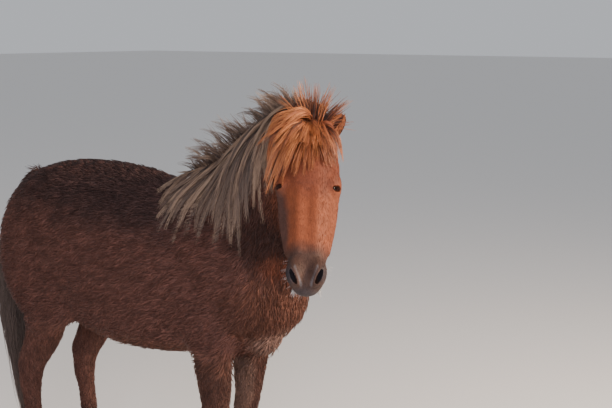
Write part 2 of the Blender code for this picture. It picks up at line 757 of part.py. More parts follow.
# The tail's hair, in rings round a short core. Top, tips, and the ring's share of the tail's radius.
TAIL_RINGS = (
    (1.212, 0.66, 0.98),
    (1.105, 0.38, 0.72),
    (0.930, 0.17, 0.48),
)
TAIL_LOCKS = 6                 # in each ring
TAIL_STEPS = (                 # share of a lock's length, and of the tail's radius there
    (0.00, 0.30),
    (0.11, 0.98),
    (0.30, 1.00),
    (0.52, 1.00),
    (0.77, 0.95),
    (1.00, 0.82),
)


def tail_locks():
    locks = []
    rows = smooth_rows(TAIL, 4)
    for ring, (top, tips, share) in enumerate(TAIL_RINGS):
        for i in range(TAIL_LOCKS):
            angle = 2 * math.pi * (i + 0.5 * (ring % 2)) / TAIL_LOCKS + draw.uniform(-0.08, 0.08)
            across = Vector((-math.cos(angle), math.sin(angle), 0))
            start = top + draw.uniform(-0.02, 0.0)
            end = tips + draw.uniform(-0.03, 0.10)
            wander = draw.uniform(-0.15, 0.15)
            path = []
            for down, spread in TAIL_STEPS:
                z = start + (end - start) * down
                row = rows[np.argmin(np.abs(rows[:, 2] - z))]
                turned = angle + wander * down
                out = Vector((-row[5] * math.cos(turned), row[3] * math.sin(turned), 0))
                if out.x > 0:
                    out.x *= row[4] / row[5]
                path.append(Vector((row[0], row[1], z)) + out * spread * share)
            wide = 0.090 * varied(0.15) * (1.1 - 0.15 * ring)
            locks.append(ribbon(path, [across] * len(path), wide, 0.026, 0.35))
    return locks


# Hooves: sole radii and how far the crown lies back from the sole's middle.
HOOF_HEIGHT = 0.058            # at the middle of the crown
HOOF_SLOPE = math.radians(21)  # the crown drops this much towards the heel
HOOF_SIDES = 14
HEEL_FLAT = 0.80               # the heel is cut flat at this share of the radius
HOOF_WALL = (                  # share of height, forward radius, side radius, shift back
    (0.0, 0.0640, 0.0590, 0.000),
    (0.08, 0.0640, 0.0590, 0.001),
    (0.55, 0.0545, 0.0525, 0.010),
    (0.92, 0.0465, 0.0470, 0.0185),
    (1.0, 0.0430, 0.0440, 0.0200),
)
FORE_SOLE = 0.172              # x of a sole's middle, before its leg's shift
HIND_SOLE = -0.834
HOOF_Y = (0.116, 0.136)        # fore, hind


def hoof(x, y):
    rings = []
    for share, fore, wide, back in HOOF_WALL:
        ring = []
        for i in range(HOOF_SIDES):
            angle = 2 * math.pi * i / HOOF_SIDES
            ahead = max(fore * math.cos(angle), -HEEL_FLAT * fore)
            at_height = share * (HOOF_HEIGHT + math.tan(HOOF_SLOPE) * ahead)
            ring.append(Vector((x - back + ahead, y + wide * math.sin(angle), at_height)))
        rings.append(ring)
    return loft(rings)


def crown_place(x, y):
    """Where a hoof's crown meets the leg: its plane tips down towards the heel."""
    back = HOOF_WALL[-1][3]
    return frame_at((x - back, y, HOOF_HEIGHT + GAP / 2), drop=-HOOF_SLOPE)


def mesh_object(name, points, faces):
    """A closed object facing out."""
    mesh = bpy.data.meshes.new(name)
    mesh.from_pydata([tuple(p) for p in points], [], [tuple(int(i) for i in f) for f in faces])
    shape = bmesh.new()
    shape.from_mesh(mesh)
    if shape.calc_volume(signed=True) < 0:
        bmesh.ops.reverse_faces(shape, faces=shape.faces)
    shape.to_mesh(mesh)
    shape.free()
    obj = bpy.data.objects.new(name, mesh)
    bpy.context.scene.collection.objects.link(obj)
    return obj


def baked(obj):
    """Applies the modifiers of an object."""
    evaluated = obj.evaluated_get(bpy.context.evaluated_depsgraph_get())
    mesh = bpy.data.meshes.new_from_object(evaluated)
    obj.modifiers.clear()
    obj.data = mesh
    return obj


def thinned(obj, triangles):
    modifier = obj.modifiers.new("thin", "DECIMATE")
    modifier.ratio = triangles / (2 * len(obj.data.polygons))
    modifier.use_collapse_triangulate = True
    return baked(obj)


def block(place, low, high):
    """A box between two corners of a place, as an object for cutting."""
    size = [b - a for a, b in zip(low, high)]
    middle = [(a + b) / 2 for a, b in zip(low, high)]
    shape = bmesh.new()
    whole = place @ Matrix.Translation(middle) @ Matrix.Diagonal((*size, 1))
    bmesh.ops.create_cube(shape, size=1, matrix=whole)
    mesh = bpy.data.meshes.new("block")
    shape.to_mesh(mesh)
    shape.free()
    obj = bpy.data.objects.new("block", mesh)
    bpy.context.scene.collection.objects.link(obj)
    return obj


def joined_with(obj, tools, operation, solver="EXACT"):
    """One Boolean of an object with several closed tools, which are then removed."""
    group = bpy.data.collections.new("tools")
    bpy.context.scene.collection.children.link(group)
    for tool in tools:
        bpy.context.scene.collection.objects.unlink(tool)
        group.objects.link(tool)
    modifier = obj.modifiers.new("tools", "BOOLEAN")
    modifier.operation = operation
    modifier.operand_type = "COLLECTION"
    modifier.collection = group
    modifier.solver = solver
    baked(obj)
    for tool in list(tools):
        bpy.data.objects.remove(tool, do_unlink=True)
    bpy.data.collections.remove(group)
    return obj


def pieces(obj):
    """The closed surfaces of an object, each as (volume, centre, points, faces)."""
    shape = bmesh.new()
    shape.from_mesh(obj.data)
    bmesh.ops.triangulate(shape, faces=shape.faces)
    shape.faces.ensure_lookup_table()
    seen = set()
    found = []
    for first in shape.faces:
        if first.index in seen:
            continue
        seen.add(first.index)
        stack = [first]
        group = []
        while stack:
            face = stack.pop()
            group.append(face)
            for edge in face.edges:
                for other in edge.link_faces:
                    if other.index not in seen:
                        seen.add(other.index)
                        stack.append(other)
        number = {}
        points = []
        faces = []
        volume = 0.0
        for face in group:
            a, b, c = (vert.co for vert in face.verts)
            volume += a.dot(b.cross(c)) / 6
            for vert in face.verts:
                if vert.index not in number:
                    number[vert.index] = len(points)
                    points.append(vert.co.copy())
            faces.append(tuple(number[vert.index] for vert in face.verts))
        centre = sum(points, Vector()) / len(points)
        found.append((volume, centre, points, faces))
    shape.free()
    return sorted(found, key=lambda piece: -piece[0])


# A point near the middle of each node that the body is cut into.
NODE_AT = {
    "torso": (-0.35, 0.0, 1.05),
    "neck": (0.30, -0.08, 1.32),
    "foreleg_left": (0.08, 0.114, 0.35),
    "foreleg_right": (0.13, -0.114, 0.35),
    "hindleg_left": (-0.85, 0.135, 0.40),
    "hindleg_right": (-0.90, -0.135, 0.40),
    "tail": (-1.17, 0.0, 0.75),
}
UNION_TRIES = 6                # the locks are nudged and fused again while two of them touch along an edge
NUDGE = 0.0006
SCRAP = 5e-5                   # cubic metres: a loose piece under this is dropped

WITHERS_SEAM = frame_at((0.210, 0, 1.175), drop=math.radians(51.7))
TAIL_SEAM = frame_at((-1.085, 0, 1.235), drop=math.radians(40))


FORE_SEAM = Matrix.Translation((0.13, 0, 0.715))
HIND_SEAM = frame_at((-0.84, 0, 0.765), drop=math.radians(14))
HEAD_SEAM_RISE = -0.49         # the plane's tilt, so that it runs from behind the poll to the throat


def head_seam():
    """The plane between neck and head, across the neck's axis, with +X towards the head."""
    rows = neck_rows()
    first, last = Vector(rows[4][:3]), Vector(rows[5][:3])
    along = last - first
    return frame_at(first + along * 0.25, math.atan2(along.y, along.x), HEAD_SEAM_RISE)


def seams():
    """Thin blocks that part the body's flesh into its nodes."""
    half = GAP / 2
    cuts = [block(WITHERS_SEAM, (-0.36, -0.4, -half), (0.36, 0.4, half))]
    cuts.append(block(TAIL_SEAM, (-0.085, -0.09, -half), (0.062, 0.09, half)))
    for side in (1, -1):
        inner, outer = sorted((0.012 * side, 0.30 * side))
        cuts.append(block(FORE_SEAM, (-0.16, inner, -half), (0.15, outer, half)))
        cuts.append(block(HIND_SEAM, (-0.22, inner, -half), (0.24, outer, half)))
        for front, x, y in ((True, FORE_SOLE, HOOF_Y[0]), (False, HIND_SOLE, HOOF_Y[1])):
            crown = crown_place(x + leg_shift(side, front), y * side)
            cuts.append(block(crown, (-0.10, -0.085, -half), (0.10, 0.085, half)))
    return cuts


def grown(node, locks, others):
    """Fuses locks with the node they grow from, once each is cut clear of the nodes it would cross."""
    walls = [swollen(other) for other in others]
    skins = [BVHTree.FromPolygons([v.co for v in wall.data.vertices],
                                  [tuple(p.vertices) for p in wall.data.polygons]) for wall in walls]
    bare = node.data
    for attempt in range(UNION_TRIES):
        shake = random.Random(attempt)
        tools = []
        for points, faces in locks:
            nudge = Vector((shake.uniform(-1, 1), shake.uniform(-1, 1), shake.uniform(-1, 1))) * NUDGE
            moved = [point + nudge for point in points]
            lock = mesh_object("lock", moved, faces)
            tree = BVHTree.FromPolygons(moved, faces)
            for wall, skin in zip(walls, skins):
                if skin.overlap(tree):
                    cut_by(lock, wall)
            if lock.data.polygons:
                tools.append(lock)
        node.data = bare
        joined_with(node, tools, "UNION", "MANIFOLD")
        if sound(keep_largest(node)):
            break
    for wall in walls:
        bpy.data.objects.remove(wall, do_unlink=True)
    return node


def cut_by(obj, wall):
    modifier = obj.modifiers.new("clear", "BOOLEAN")
    modifier.operation = "DIFFERENCE"
    modifier.solver = "MANIFOLD"
    modifier.object = wall
    return baked(obj)


def sound(obj):
    """Whether just two faces meet along every edge, with corners under a thousandth of a millimetre apart as one."""
    spots = [tuple(round(c, 6) for c in vert.co) for vert in obj.data.vertices]
    meets = Counter()
    for poly in obj.data.polygons:
        ring = [spots[i] for i in poly.vertices]
        if len(set(ring)) == len(ring):
            for a, b in zip(ring, ring[1:] + ring[:1]):
                meets[frozenset((a, b))] += 1
    return all(count == 2 for count in meets.values())


def nearest_name(centre):
    return min(NODE_AT, key=lambda name: (Vector(NODE_AT[name]) - centre).length)


# Colours measured on the coat in even light, then made linear.
def linear(code):
    parts = [int(code[i : i + 2], 16) / 255 for i in (0, 2, 4)]
    return tuple(c / 12.92 if c <= 0.04045 else ((c + 0.055) / 1.055) ** 2.4 for c in parts)


FINISH = {                     # colour, roughness
    "torso": ("4a2f2a", 0.85),
    "neck": ("513a33", 0.85),
    "head": ("8a5442", 0.80),
    "ear": ("6a3420", 0.85),
    "eye": ("120c0a", 0.12),
    "foreleg": ("452b22", 0.85),
    "hindleg": ("452b22", 0.85),
    "hoof": ("3b332e", 0.55),
    "tail": ("4a3a34", 0.75),
}


def finished(obj):
    code, roughness = FINISH[obj.name.split("_")[0]]
    material = bpy.data.materials.new(obj.name)
    material.use_nodes = True
    shader = material.node_tree.nodes["Principled BSDF"]
    shader.inputs["Base Color"].default_value = (*linear(code), 1)
    shader.inputs["Roughness"].default_value = roughness
    shader.inputs["Metallic"].default_value = 0.0
    obj.data.materials.clear()
    obj.data.materials.append(material)
    return obj


def build_body():
    body = Flesh((-1.30, -0.42, -0.02), (0.86, 0.42, 1.86), BODY_GRID)
    build_trunk(body)
    build_legs(body)
    head_flesh(body)
    body.add(limb(TAIL_CORE, dorsal=(1, 0, 0)), 0.012)
    flesh = thinned(mesh_object("flesh", *body.skin()), BODY_TRIANGLES)
    seam = head_seam()
    cuts = [block(seam, (-GAP / 2, -0.7, -0.7), (1.2, 0.7, 0.7))] + seams()
    joined_with(flesh, cuts, "DIFFERENCE")
    nodes = []
    for volume, centre, points, faces in pieces(flesh):
        if volume < SCRAP or min(p.z for p in points) < HOOF_HEIGHT * 0.35:
            continue
        nodes.append(mesh_object(nearest_name(centre), points, faces))
    bpy.data.objects.remove(flesh, do_unlink=True)
    return nodes


def build_head():
    flesh = Flesh((-0.20, -0.20, -0.36), (0.62, 0.20, 0.13), HEAD_GRID, HEAD)
    flesh.add(neck(), 0.02)
    head_flesh(flesh)
    carve_head(flesh)
    head = thinned(mesh_object("head", *flesh.skin()), HEAD_TRIANGLES)
    joined_with(head, [block(head_seam(), (GAP / 2, -0.7, -0.7), (1.2, 0.7, 0.7))], "INTERSECT")
    tools = []
    nodes = [head]
    for side, word in ((1, "left"), (-1, "right")):
        nodes.append(mesh_object("ear_" + word, *ear(side)))
        tools.append(eyeball("socket", side, EYE_RADIUS + GAP))
        nodes.append(eyeball("eye_" + word, side, EYE_RADIUS))
    joined_with(head, tools, "DIFFERENCE")
    keep_largest(head)
    for node in nodes:
        if node.name.startswith("ear"):
            joined_with(node, [swollen(head)], "DIFFERENCE")
            keep_largest(node)
    return nodes


def swollen(obj):
    """A copy of an object that is larger all round by the gap between parts."""
    mesh = obj.data.copy()
    shape = bmesh.new()
    shape.from_mesh(mesh)
    shape.normal_update()
    moved = [vert.co + vert.normal * GAP * 1.2 for vert in shape.verts]
    for vert, co in zip(shape.verts, moved):
        vert.co = co
    shape.to_mesh(mesh)
    shape.free()
    copy = bpy.data.objects.new("swollen", mesh)
    bpy.context.scene.collection.objects.link(copy)
    return copy


def keep_largest(obj):
    _, _, points, faces = pieces(obj)[0]
    mesh = bpy.data.meshes.new(obj.name)
    mesh.from_pydata([tuple(p) for p in points], [], faces)
    obj.data = mesh
    return obj


def eyeball(name, side, radius):
    shape = bmesh.new()
    place = HEAD @ Matrix.Translation(sides(EYE_AT, side)) @ Matrix.Rotation(math.pi / 2, 4, "X")
    bmesh.ops.create_uvsphere(shape, u_segments=14, v_segments=9, radius=radius, matrix=place)
    mesh = bpy.data.meshes.new(name)
    shape.to_mesh(mesh)
    shape.free()
    obj = bpy.data.objects.new(name, mesh)
    bpy.context.scene.collection.objects.link(obj)
    return obj


def build_hooves():
    nodes = []
    for side, word in ((1, "left"), (-1, "right")):
        for front, where, x, y in ((True, "fore", FORE_SOLE, HOOF_Y[0]), (False, "hind", HIND_SOLE, HOOF_Y[1])):
            shape = hoof(x + leg_shift(side, front), y * side)
            nodes.append(mesh_object(f"hoof_{where}_{word}", *shape))
    return nodes


def grow_hair(nodes):
    """Mane on the neck and the poll, forelock on the head, and the tail's hair."""
    seam = head_seam().inverted()
    shares = [step / 100 for step in range(101)]
    last = min(share for share in shares if (seam @ crest(share)[0]).x > -SEAM_CLEAR)
    bare = Skin(list(nodes.values()))
    on_neck = mane_locks(bare, MANE_FROM, last)
    on_head = mane_locks(bare, last + 0.04, MANE_TO) + forelock_locks(bare)
    on_tail = tail_locks()
    around = [nodes[name] for name in ("torso", "ear_left", "ear_right", "eye_right", "eye_left")]
    grown(nodes["neck"], on_neck, around + [nodes["head"]])
    grown(nodes["head"], on_head, around + [nodes["neck"]])
    grown(nodes["tail"], on_tail, [nodes["torso"], nodes["hindleg_left"], nodes["hindleg_right"]])


def main():
    nodes = {node.name: node for node in build_body() + build_head() + build_hooves()}
    grow_hair(nodes)
    nodes = list(nodes.values())
    corners = [vert.co for node in nodes for vert in node.data.vertices]
    low = [min(c[i] for c in corners) for i in range(3)]
    high = [max(c[i] for c in corners) for i in range(3)]
    shift = Matrix.Translation((-(low[0] + high[0]) / 2, -(low[1] + high[1]) / 2, -low[2]))
    for node in nodes:
        node.data.transform(shift)
        node.data.shade_flat()
        finished(node)


main()
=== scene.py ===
"""A life-size Icelandic horse in its thick winter coat, standing square with its head turned to its right.

It is built in the order it grows: the hide, the ears, eyes and hooves, then the short coat, the mane, the forelock,
the tail's hair and the whiskers, and last the floor, lights and camera. Sizes are metres in the animal's own place,
with the withers' station near X = 0, and settle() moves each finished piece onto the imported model.
"""

import math
import random

import bmesh
import bpy
import numpy as np
from mathutils import Matrix, Vector
from mathutils.bvhtree import BVHTree


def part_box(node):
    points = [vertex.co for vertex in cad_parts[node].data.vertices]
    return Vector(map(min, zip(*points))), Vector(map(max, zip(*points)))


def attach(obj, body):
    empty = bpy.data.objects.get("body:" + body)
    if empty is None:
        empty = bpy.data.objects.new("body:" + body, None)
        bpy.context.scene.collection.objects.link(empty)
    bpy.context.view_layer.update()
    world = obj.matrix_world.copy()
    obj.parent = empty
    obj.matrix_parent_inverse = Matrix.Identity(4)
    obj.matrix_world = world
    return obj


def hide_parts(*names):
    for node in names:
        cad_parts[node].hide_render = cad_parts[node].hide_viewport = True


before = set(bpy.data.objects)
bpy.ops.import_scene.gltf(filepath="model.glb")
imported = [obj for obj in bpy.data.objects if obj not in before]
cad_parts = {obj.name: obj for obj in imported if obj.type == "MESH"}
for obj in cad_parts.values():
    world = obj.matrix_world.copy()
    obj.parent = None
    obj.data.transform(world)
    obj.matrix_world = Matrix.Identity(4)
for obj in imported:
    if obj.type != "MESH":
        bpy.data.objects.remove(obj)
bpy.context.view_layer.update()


# The hide. One closed skin over bone and muscle from the muzzle to the coronets and the dock, lying under the coat by
# the hair's depth. It is grown as a field of rounded masses that melt together, with a finer field for the head, and
# the two are zipped along one ring behind the jaw.
BODY_GRID = 0.0115
HEAD_GRID = 0.0036
NECK_TURN = math.radians(-36)
HEAD_TURN = math.radians(-55)
HEAD_DROP = math.radians(52)


def lengths(rows):
    return np.sqrt((rows * rows).sum(axis=1))


def frame_at(origin, turn=0.0, drop=0.0, roll=0.0):
    """A place whose +X is turned about the vertical and then dropped below level."""
    return (
        Matrix.Translation(origin)
        @ Matrix.Rotation(turn, 4, "Z")
        @ Matrix.Rotation(drop, 4, "Y")
        @ Matrix.Rotation(roll, 4, "X")
    )


def mass(centre, radii, place=None, turn=0.0, drop=0.0, roll=0.0):
    """An ellipsoid of flesh or bone."""
    whole = (place or Matrix.Identity(4)) @ frame_at(centre, turn, drop, roll)
    rotation = np.array(whole.to_3x3())
    middle = np.array(whole.translation)
    size = np.array(radii)
    reach = np.sqrt((rotation**2) @ (size**2))

    def distance(points):
        local = (points - middle) @ rotation
        near = lengths(local / size)
        steep = lengths(local / size**2)
        return near * (near - 1.0) / np.maximum(steep, 1e-9)

    return middle - reach, middle + reach, distance


def smooth_rows(rows, per_span):
    """A smooth curve through the rows of a table, with per_span steps between each two."""
    rows = np.array(rows, float)
    padded = np.vstack([2 * rows[0] - rows[1], rows, 2 * rows[-1] - rows[-2]])
    out = []
    for i in range(len(rows) - 1):
        a, b, c, d = padded[i : i + 4]
        for t in np.arange(per_span) / per_span:
            out.append(
                0.5 * (2 * b + (c - a) * t + (2 * a - 5 * b + 4 * c - d) * t**2 + (3 * b - a - 3 * c + d) * t**3)
            )
    out.append(rows[-1])
    return np.array(out)


def limb(stations, place=None, per_span=3, square=2.0, dorsal=(0, 0, 1)):
    """Flesh round a bent axis. A station is (x, y, z, half width, reach up, reach down), with up along dorsal."""
    rows = smooth_rows(stations, per_span)
    axis = rows[:, :3]
    along = np.gradient(axis, axis=0)
    along /= lengths(along)[:, None]
    up = np.array(dorsal, float) - along * (along @ np.array(dorsal, float))[:, None]
    up /= lengths(up)[:, None]
    side = np.cross(up, along)
    if place is not None:
        rotation = np.array(place.to_3x3())
        axis = axis @ rotation.T + np.array(place.translation)
        along, up, side = along @ rotation.T, up @ rotation.T, side @ rotation.T
    widths, ups, downs = rows[:, 3], rows[:, 4], rows[:, 5]
    reach = np.max(rows[:, 3:6], axis=1)[:, None]

    def distance(points):
        best = np.full(len(points), 1e9)
        at = np.zeros(len(points))
        for i in range(len(axis) - 1):
            step = axis[i + 1] - axis[i]
            share = np.clip((points - axis[i]) @ step / (step @ step), 0, 1)
            far = lengths(points - axis[i] - share[:, None] * step)
            closer = far < best
            best[closer] = far[closer]
            at[closer] = i + share[closer]
        low = np.minimum(at.astype(int), len(axis) - 2)
        part = (at - low)[:, None]

        def between(values):
            if values.ndim == 1:
                return values[low] * (1 - part[:, 0]) + values[low + 1] * part[:, 0]
            return values[low] * (1 - part) + values[low + 1] * part

        offset = points - between(axis)
        sideways = (offset * between(side)).sum(axis=1)
        upwards = (offset * between(up)).sum(axis=1)
        beyond = (offset * between(along)).sum(axis=1)
        beyond = np.where((at <= 0) | (at >= len(axis) - 1), np.abs(beyond), 0)
        tall = np.where(upwards > 0, between(ups), between(downs))
        share = ((np.abs(sideways) / between(widths)) ** square + (np.abs(upwards) / tall) ** square) ** (1 / square)
        out = np.sqrt(sideways**2 + upwards**2)
        across = out - out / np.maximum(share, 1e-6)
        across = np.where(share < 1e-6, -np.minimum(between(widths), tall), across)
        return np.where(beyond > 0, np.sqrt(np.maximum(across, 0) ** 2 + beyond**2), across)

    return (axis - reach).min(axis=0), (axis + reach).max(axis=0), distance


FAR = 0.3                      # distance that stands for open air in the grid


class Flesh:
    """A grid of distances to the skin, in a frame of its own. Masses are added to it and cut from it."""

    def __init__(self, low, high, pitch, place=None):
        self.place = place or Matrix.Identity(4)
        self.low = np.array(low, float)
        self.pitch = pitch
        self.count = np.ceil((np.array(high) - self.low) / pitch).astype(int) + 1
        self.field = np.full(self.count, FAR)

    def window(self, shape, margin):
        low, high, distance = shape
        inverse = self.place.inverted()
        rotation = np.array(inverse.to_3x3())
        centre = rotation @ ((low + high) / 2) + np.array(inverse.translation)
        half = np.abs(rotation) @ ((high - low) / 2) + margin
        first = np.clip(np.floor((centre - half - self.low) / self.pitch).astype(int), 0, self.count)
        last = np.clip(np.ceil((centre + half - self.low) / self.pitch).astype(int) + 1, 0, self.count)
        if (last <= first).any():
            return None, None
        lines = (self.low[i] + self.pitch * np.arange(first[i], last[i]) for i in range(3))
        grids = np.meshgrid(*lines, indexing="ij")
        points = np.stack([g.ravel() for g in grids], axis=1)
        points = points @ np.array(self.place.to_3x3()).T + np.array(self.place.translation)
        where = tuple(slice(a, b) for a, b in zip(first, last))
        return where, distance(points).reshape(grids[0].shape)

    def add(self, shape, melt=0.03):
        where, new = self.window(shape, 2 * melt + 2 * self.pitch)
        if where is None:
            return
        old = self.field[where]
        near = np.maximum(melt - np.abs(old - new), 0) / melt
        self.field[where] = np.minimum(old, new) - near * near * melt / 4

    def cut(self, shape, melt=0.004):
        where, new = self.window(shape, 2 * melt + 2 * self.pitch)
        if where is None:
            return
        old = self.field[where]
        near = np.maximum(melt - np.abs(old + new), 0) / melt
        self.field[where] = np.maximum(old, -new) + near * near * melt / 4

    def skin(self):
        """Points and quads of the surface, one point in each grid cell that it crosses."""
        field = self.field.copy()
        for end in (0, -1):
            field[end, :, :] = field[:, end, :] = field[:, :, end] = FAR
        fill_crossings(field)
        cells = np.array(field.shape) - 1
        corners = [(a, b, c) for a in (0, 1) for b in (0, 1) for c in (0, 1)]

        def shifted(a, b, c):
            return field[a : cells[0] + a, b : cells[1] + b, c : cells[2] + c]

        inside = sum((shifted(*corner) < 0).astype(np.int8) for corner in corners)
        crossed = (inside > 0) & (inside < 8)
        at = np.argwhere(crossed)
        number = np.full(field.shape, -1)
        number[tuple(at.T)] = np.arange(len(at))
        total = np.zeros((len(at), 3))
        hits = np.zeros(len(at))
        for corner in corners:
            for axis in range(3):
                if corner[axis]:
                    continue
                other = list(corner)
                other[axis] = 1
                first = field[tuple((at + corner).T)]
                second = field[tuple((at + other).T)]
                hit = (first < 0) != (second < 0)
                share = np.where(hit, first / np.where(hit, first - second, 1), 0)
                spot = np.array(corner, float)[None, :] + np.eye(3)[axis] * share[:, None]
                total += spot * hit[:, None]
                hits += hit
        points = self.low + (at + total / hits[:, None]) * self.pitch
        quads = []
        for axis in range(3):
            a, b = [k for k in range(3) if k != axis]
            start = np.argwhere((np.take(field, range(field.shape[axis] - 1), axis) < 0)
                                != (np.take(field, range(1, field.shape[axis]), axis) < 0))
            start = start[(start[:, a] > 0) & (start[:, b] > 0)]
            back_a, back_b = np.eye(3, dtype=int)[a], np.eye(3, dtype=int)[b]
            ring = np.stack([number[tuple((start - da - db).T)]
                             for da, db in ((0 * back_a, 0 * back_b), (back_a, 0 * back_b),
                                            (back_a, back_b), (0 * back_a, back_b))], axis=1)
            outward = (field[tuple(start.T)] < 0) != (axis == 1)
            ring[~outward] = ring[~outward][:, ::-1]
            quads.append(ring)
        points = points @ np.array(self.place.to_3x3()).T + np.array(self.place.translation)
        return points, np.vstack(quads)


def fill_crossings(field):
    """Fills grid faces whose two diagonals differ, where the skin would meet itself along an edge."""
    for _ in range(6):
        filled = 0
        for axis in range(3):
            across = [k for k in range(3) if k != axis]

            def corner(first, second):
                window = [slice(None)] * 3
                window[across[0]] = slice(first, field.shape[across[0]] - 1 + first)
                window[across[1]] = slice(second, field.shape[across[1]] - 1 + second)
                return field[tuple(window)]

            one, two, three, four = corner(0, 0), corner(1, 1), corner(0, 1), corner(1, 0)
            split = ((one < 0) == (two < 0)) & ((three < 0) == (four < 0)) & ((one < 0) != (three < 0))
            filled += split.sum()
            for values in (one, two, three, four):
                values[split & (values >= 0)] = -1e-4
        if not filled:
            break


# The trunk, along the spine: x, top, bottom and half width over the coat.
TRUNK = (
    (-1.030, 1.240, 1.060, 0.095),
    (-0.985, 1.320, 0.970, 0.165),
    (-0.88, 1.395, 0.890, 0.215),
    (-0.74, 1.430, 0.815, 0.245),
    (-0.58, 1.434, 0.745, 0.266),
    (-0.42, 1.420, 0.702, 0.280),
    (-0.25, 1.392, 0.704, 0.276),
    (-0.08, 1.365, 0.728, 0.250),
    (0.08, 1.335, 0.765, 0.214),
    (0.20, 1.280, 0.790, 0.190),
    (0.30, 1.200, 0.835, 0.165),
    (0.365, 1.130, 0.890, 0.125),
    (0.398, 1.080, 0.935, 0.075),
)
BELLY_LINE = 0.47              # height of the widest part, as a share of the depth


def trunk():
    rows = []
    for x, top, bottom, wide in TRUNK:
        middle = bottom + BELLY_LINE * (top - bottom)
        rows.append((x, 0, middle, wide, top - middle, middle - bottom))
    return limb(rows, square=2.15)


# The neck before it turns: crest point and throat point (forward, height) and half width of each station.
NECK = (
    (-0.070, 1.370, 0.340, 0.900, 0.180),
    (0.065, 1.455, 0.412, 1.030, 0.155),
    (0.180, 1.530, 0.458, 1.145, 0.132),
    (0.290, 1.592, 0.500, 1.250, 0.113),
    (0.385, 1.635, 0.540, 1.335, 0.101),
    (0.470, 1.655, 0.582, 1.388, 0.092),
    (0.535, 1.650, 0.620, 1.428, 0.080),
)


def neck_rows():
    """The neck's stations once it has turned to the right: axis point, half width and half depth twice."""
    rows = []
    x = y = 0.0
    before = None
    for i, (crest_x, crest_z, throat_x, throat_z, wide) in enumerate(NECK):
        ahead = (crest_x + throat_x) / 2
        turn = NECK_TURN * (i / (len(NECK) - 1)) ** 1.3
        step = ahead if before is None else ahead - before
        x += step * math.cos(turn)
        y += step * math.sin(turn)
        before = ahead
        half = math.dist((crest_x, crest_z), (throat_x, throat_z)) / 2
        rows.append((x, y, (crest_z + throat_z) / 2, wide, half, half))
    return rows


def neck():
    return limb(neck_rows(), square=2.0)


POLL_AHEAD = 0.030            # poll from the last neck station, forward and up
POLL_ABOVE = 0.100


def head_place():
    x, y, z = neck_rows()[-1][:3]
    ahead = Vector((math.cos(NECK_TURN), math.sin(NECK_TURN), 0)) * POLL_AHEAD
    return frame_at(Vector((x, y, z + POLL_ABOVE)) + ahead, HEAD_TURN, HEAD_DROP)


HEAD = head_place()

# The head in its own frame, +X down the face: station, top of the face, underside of the jaw, half width.
SKULL = (
    (-0.030, -0.012, -0.150, 0.072),
    (0.040, 0.006, -0.185, 0.088),
    (0.110, 0.014, -0.218, 0.093),
    (0.180, 0.014, -0.226, 0.093),
    (0.250, 0.006, -0.208, 0.091),
    (0.320, 0.000, -0.176, 0.085),
    (0.390, -0.004, -0.148, 0.074),
    (0.450, -0.008, -0.128, 0.063),
    (0.500, -0.014, -0.118, 0.056),
    (0.540, -0.026, -0.108, 0.046),
)
EYE_AT = (0.203, 0.0815, -0.045)
EYE_RADIUS = 0.0200
NOSTRIL_AT = (0.529, 0.0350, -0.026)


def sides(point, side):
    return (point[0], point[1] * side, point[2])


# Masses of the head in its own frame: centre on the left side, radii, turn, drop and melt.
FACE = {
    "jaw": ((0.145, 0.056, -0.140), (0.108, 0.039, 0.096), 0.0, -0.25, 0.025),
    "temple": ((0.110, 0.070, -0.062), (0.075, 0.022, 0.030), 0.0, 0.0, 0.025),
    "brow": ((0.190, 0.076, -0.030), (0.040, 0.025, 0.026), 0.0, 0.0, 0.02),
    "cheek bone": ((0.285, 0.062, -0.078), (0.080, 0.015, 0.014), -0.13, 0.0, 0.02),
    "nostril wing": ((0.512, 0.037, -0.036), (0.044, 0.027, 0.034), 0.0, 0.0, 0.02),
    "eye rim": (EYE_AT, (0.040, 0.0235, 0.031), 0.0, 0.0, 0.02),
    "ear root": ((0.004, 0.056, -0.022), (0.036, 0.028, 0.034), 0.0, 0.0, 0.02),
}
LIPS = {
    "upper lip": ((0.543, 0, -0.068), (0.034, 0.044, 0.034), 0.02),
    "lower lip": ((0.528, 0, -0.104), (0.031, 0.036, 0.021), 0.010),
    "chin": ((0.490, 0, -0.118), (0.034, 0.034, 0.022), 0.02),
}


def head_flesh(flesh):
    rows = []
    for x, top, bottom, wide in SKULL:
        middle = top + 0.45 * (bottom - top)
        rows.append((x, 0, middle, wide, top - middle, middle - bottom))
    flesh.add(limb(rows, HEAD, square=2.6), 0.02)
    forehead = mass((0.125, 0, -0.028), (0.105, 0.074, 0.047), HEAD)
    flesh.add(forehead, 0.03)
    for centre, radii, turn, drop, melt in FACE.values():
        for side in (1, -1):
            flesh.add(mass(sides(centre, side), radii, HEAD, turn * side, drop), melt)
    for centre, radii, melt in LIPS.values():
        flesh.add(mass(centre, radii, HEAD), melt)


EYE_LOOKS = (0.22, 0.74, 0.63)   # ahead and outwards
SLIT = (-0.12, 0.86, -0.50)      # from the inner corner to the outer one


GLOBE_AT = (EYE_AT[0] + 0.008, EYE_AT[1] - 0.011, EYE_AT[2] - 0.002)


def eye_place(side):
    """The eyeball's frame: X along the lids, Y across them and Z out of the eye."""
    out = Vector(sides(EYE_LOOKS, side)).normalized()
    along = Vector(sides(SLIT, side))
    along = (along - out * along.dot(out)).normalized()
    frame_here = Matrix((along, out.cross(along), out)).transposed().to_4x4()
    return HEAD @ Matrix.Translation(sides(GLOBE_AT, side)) @ frame_here


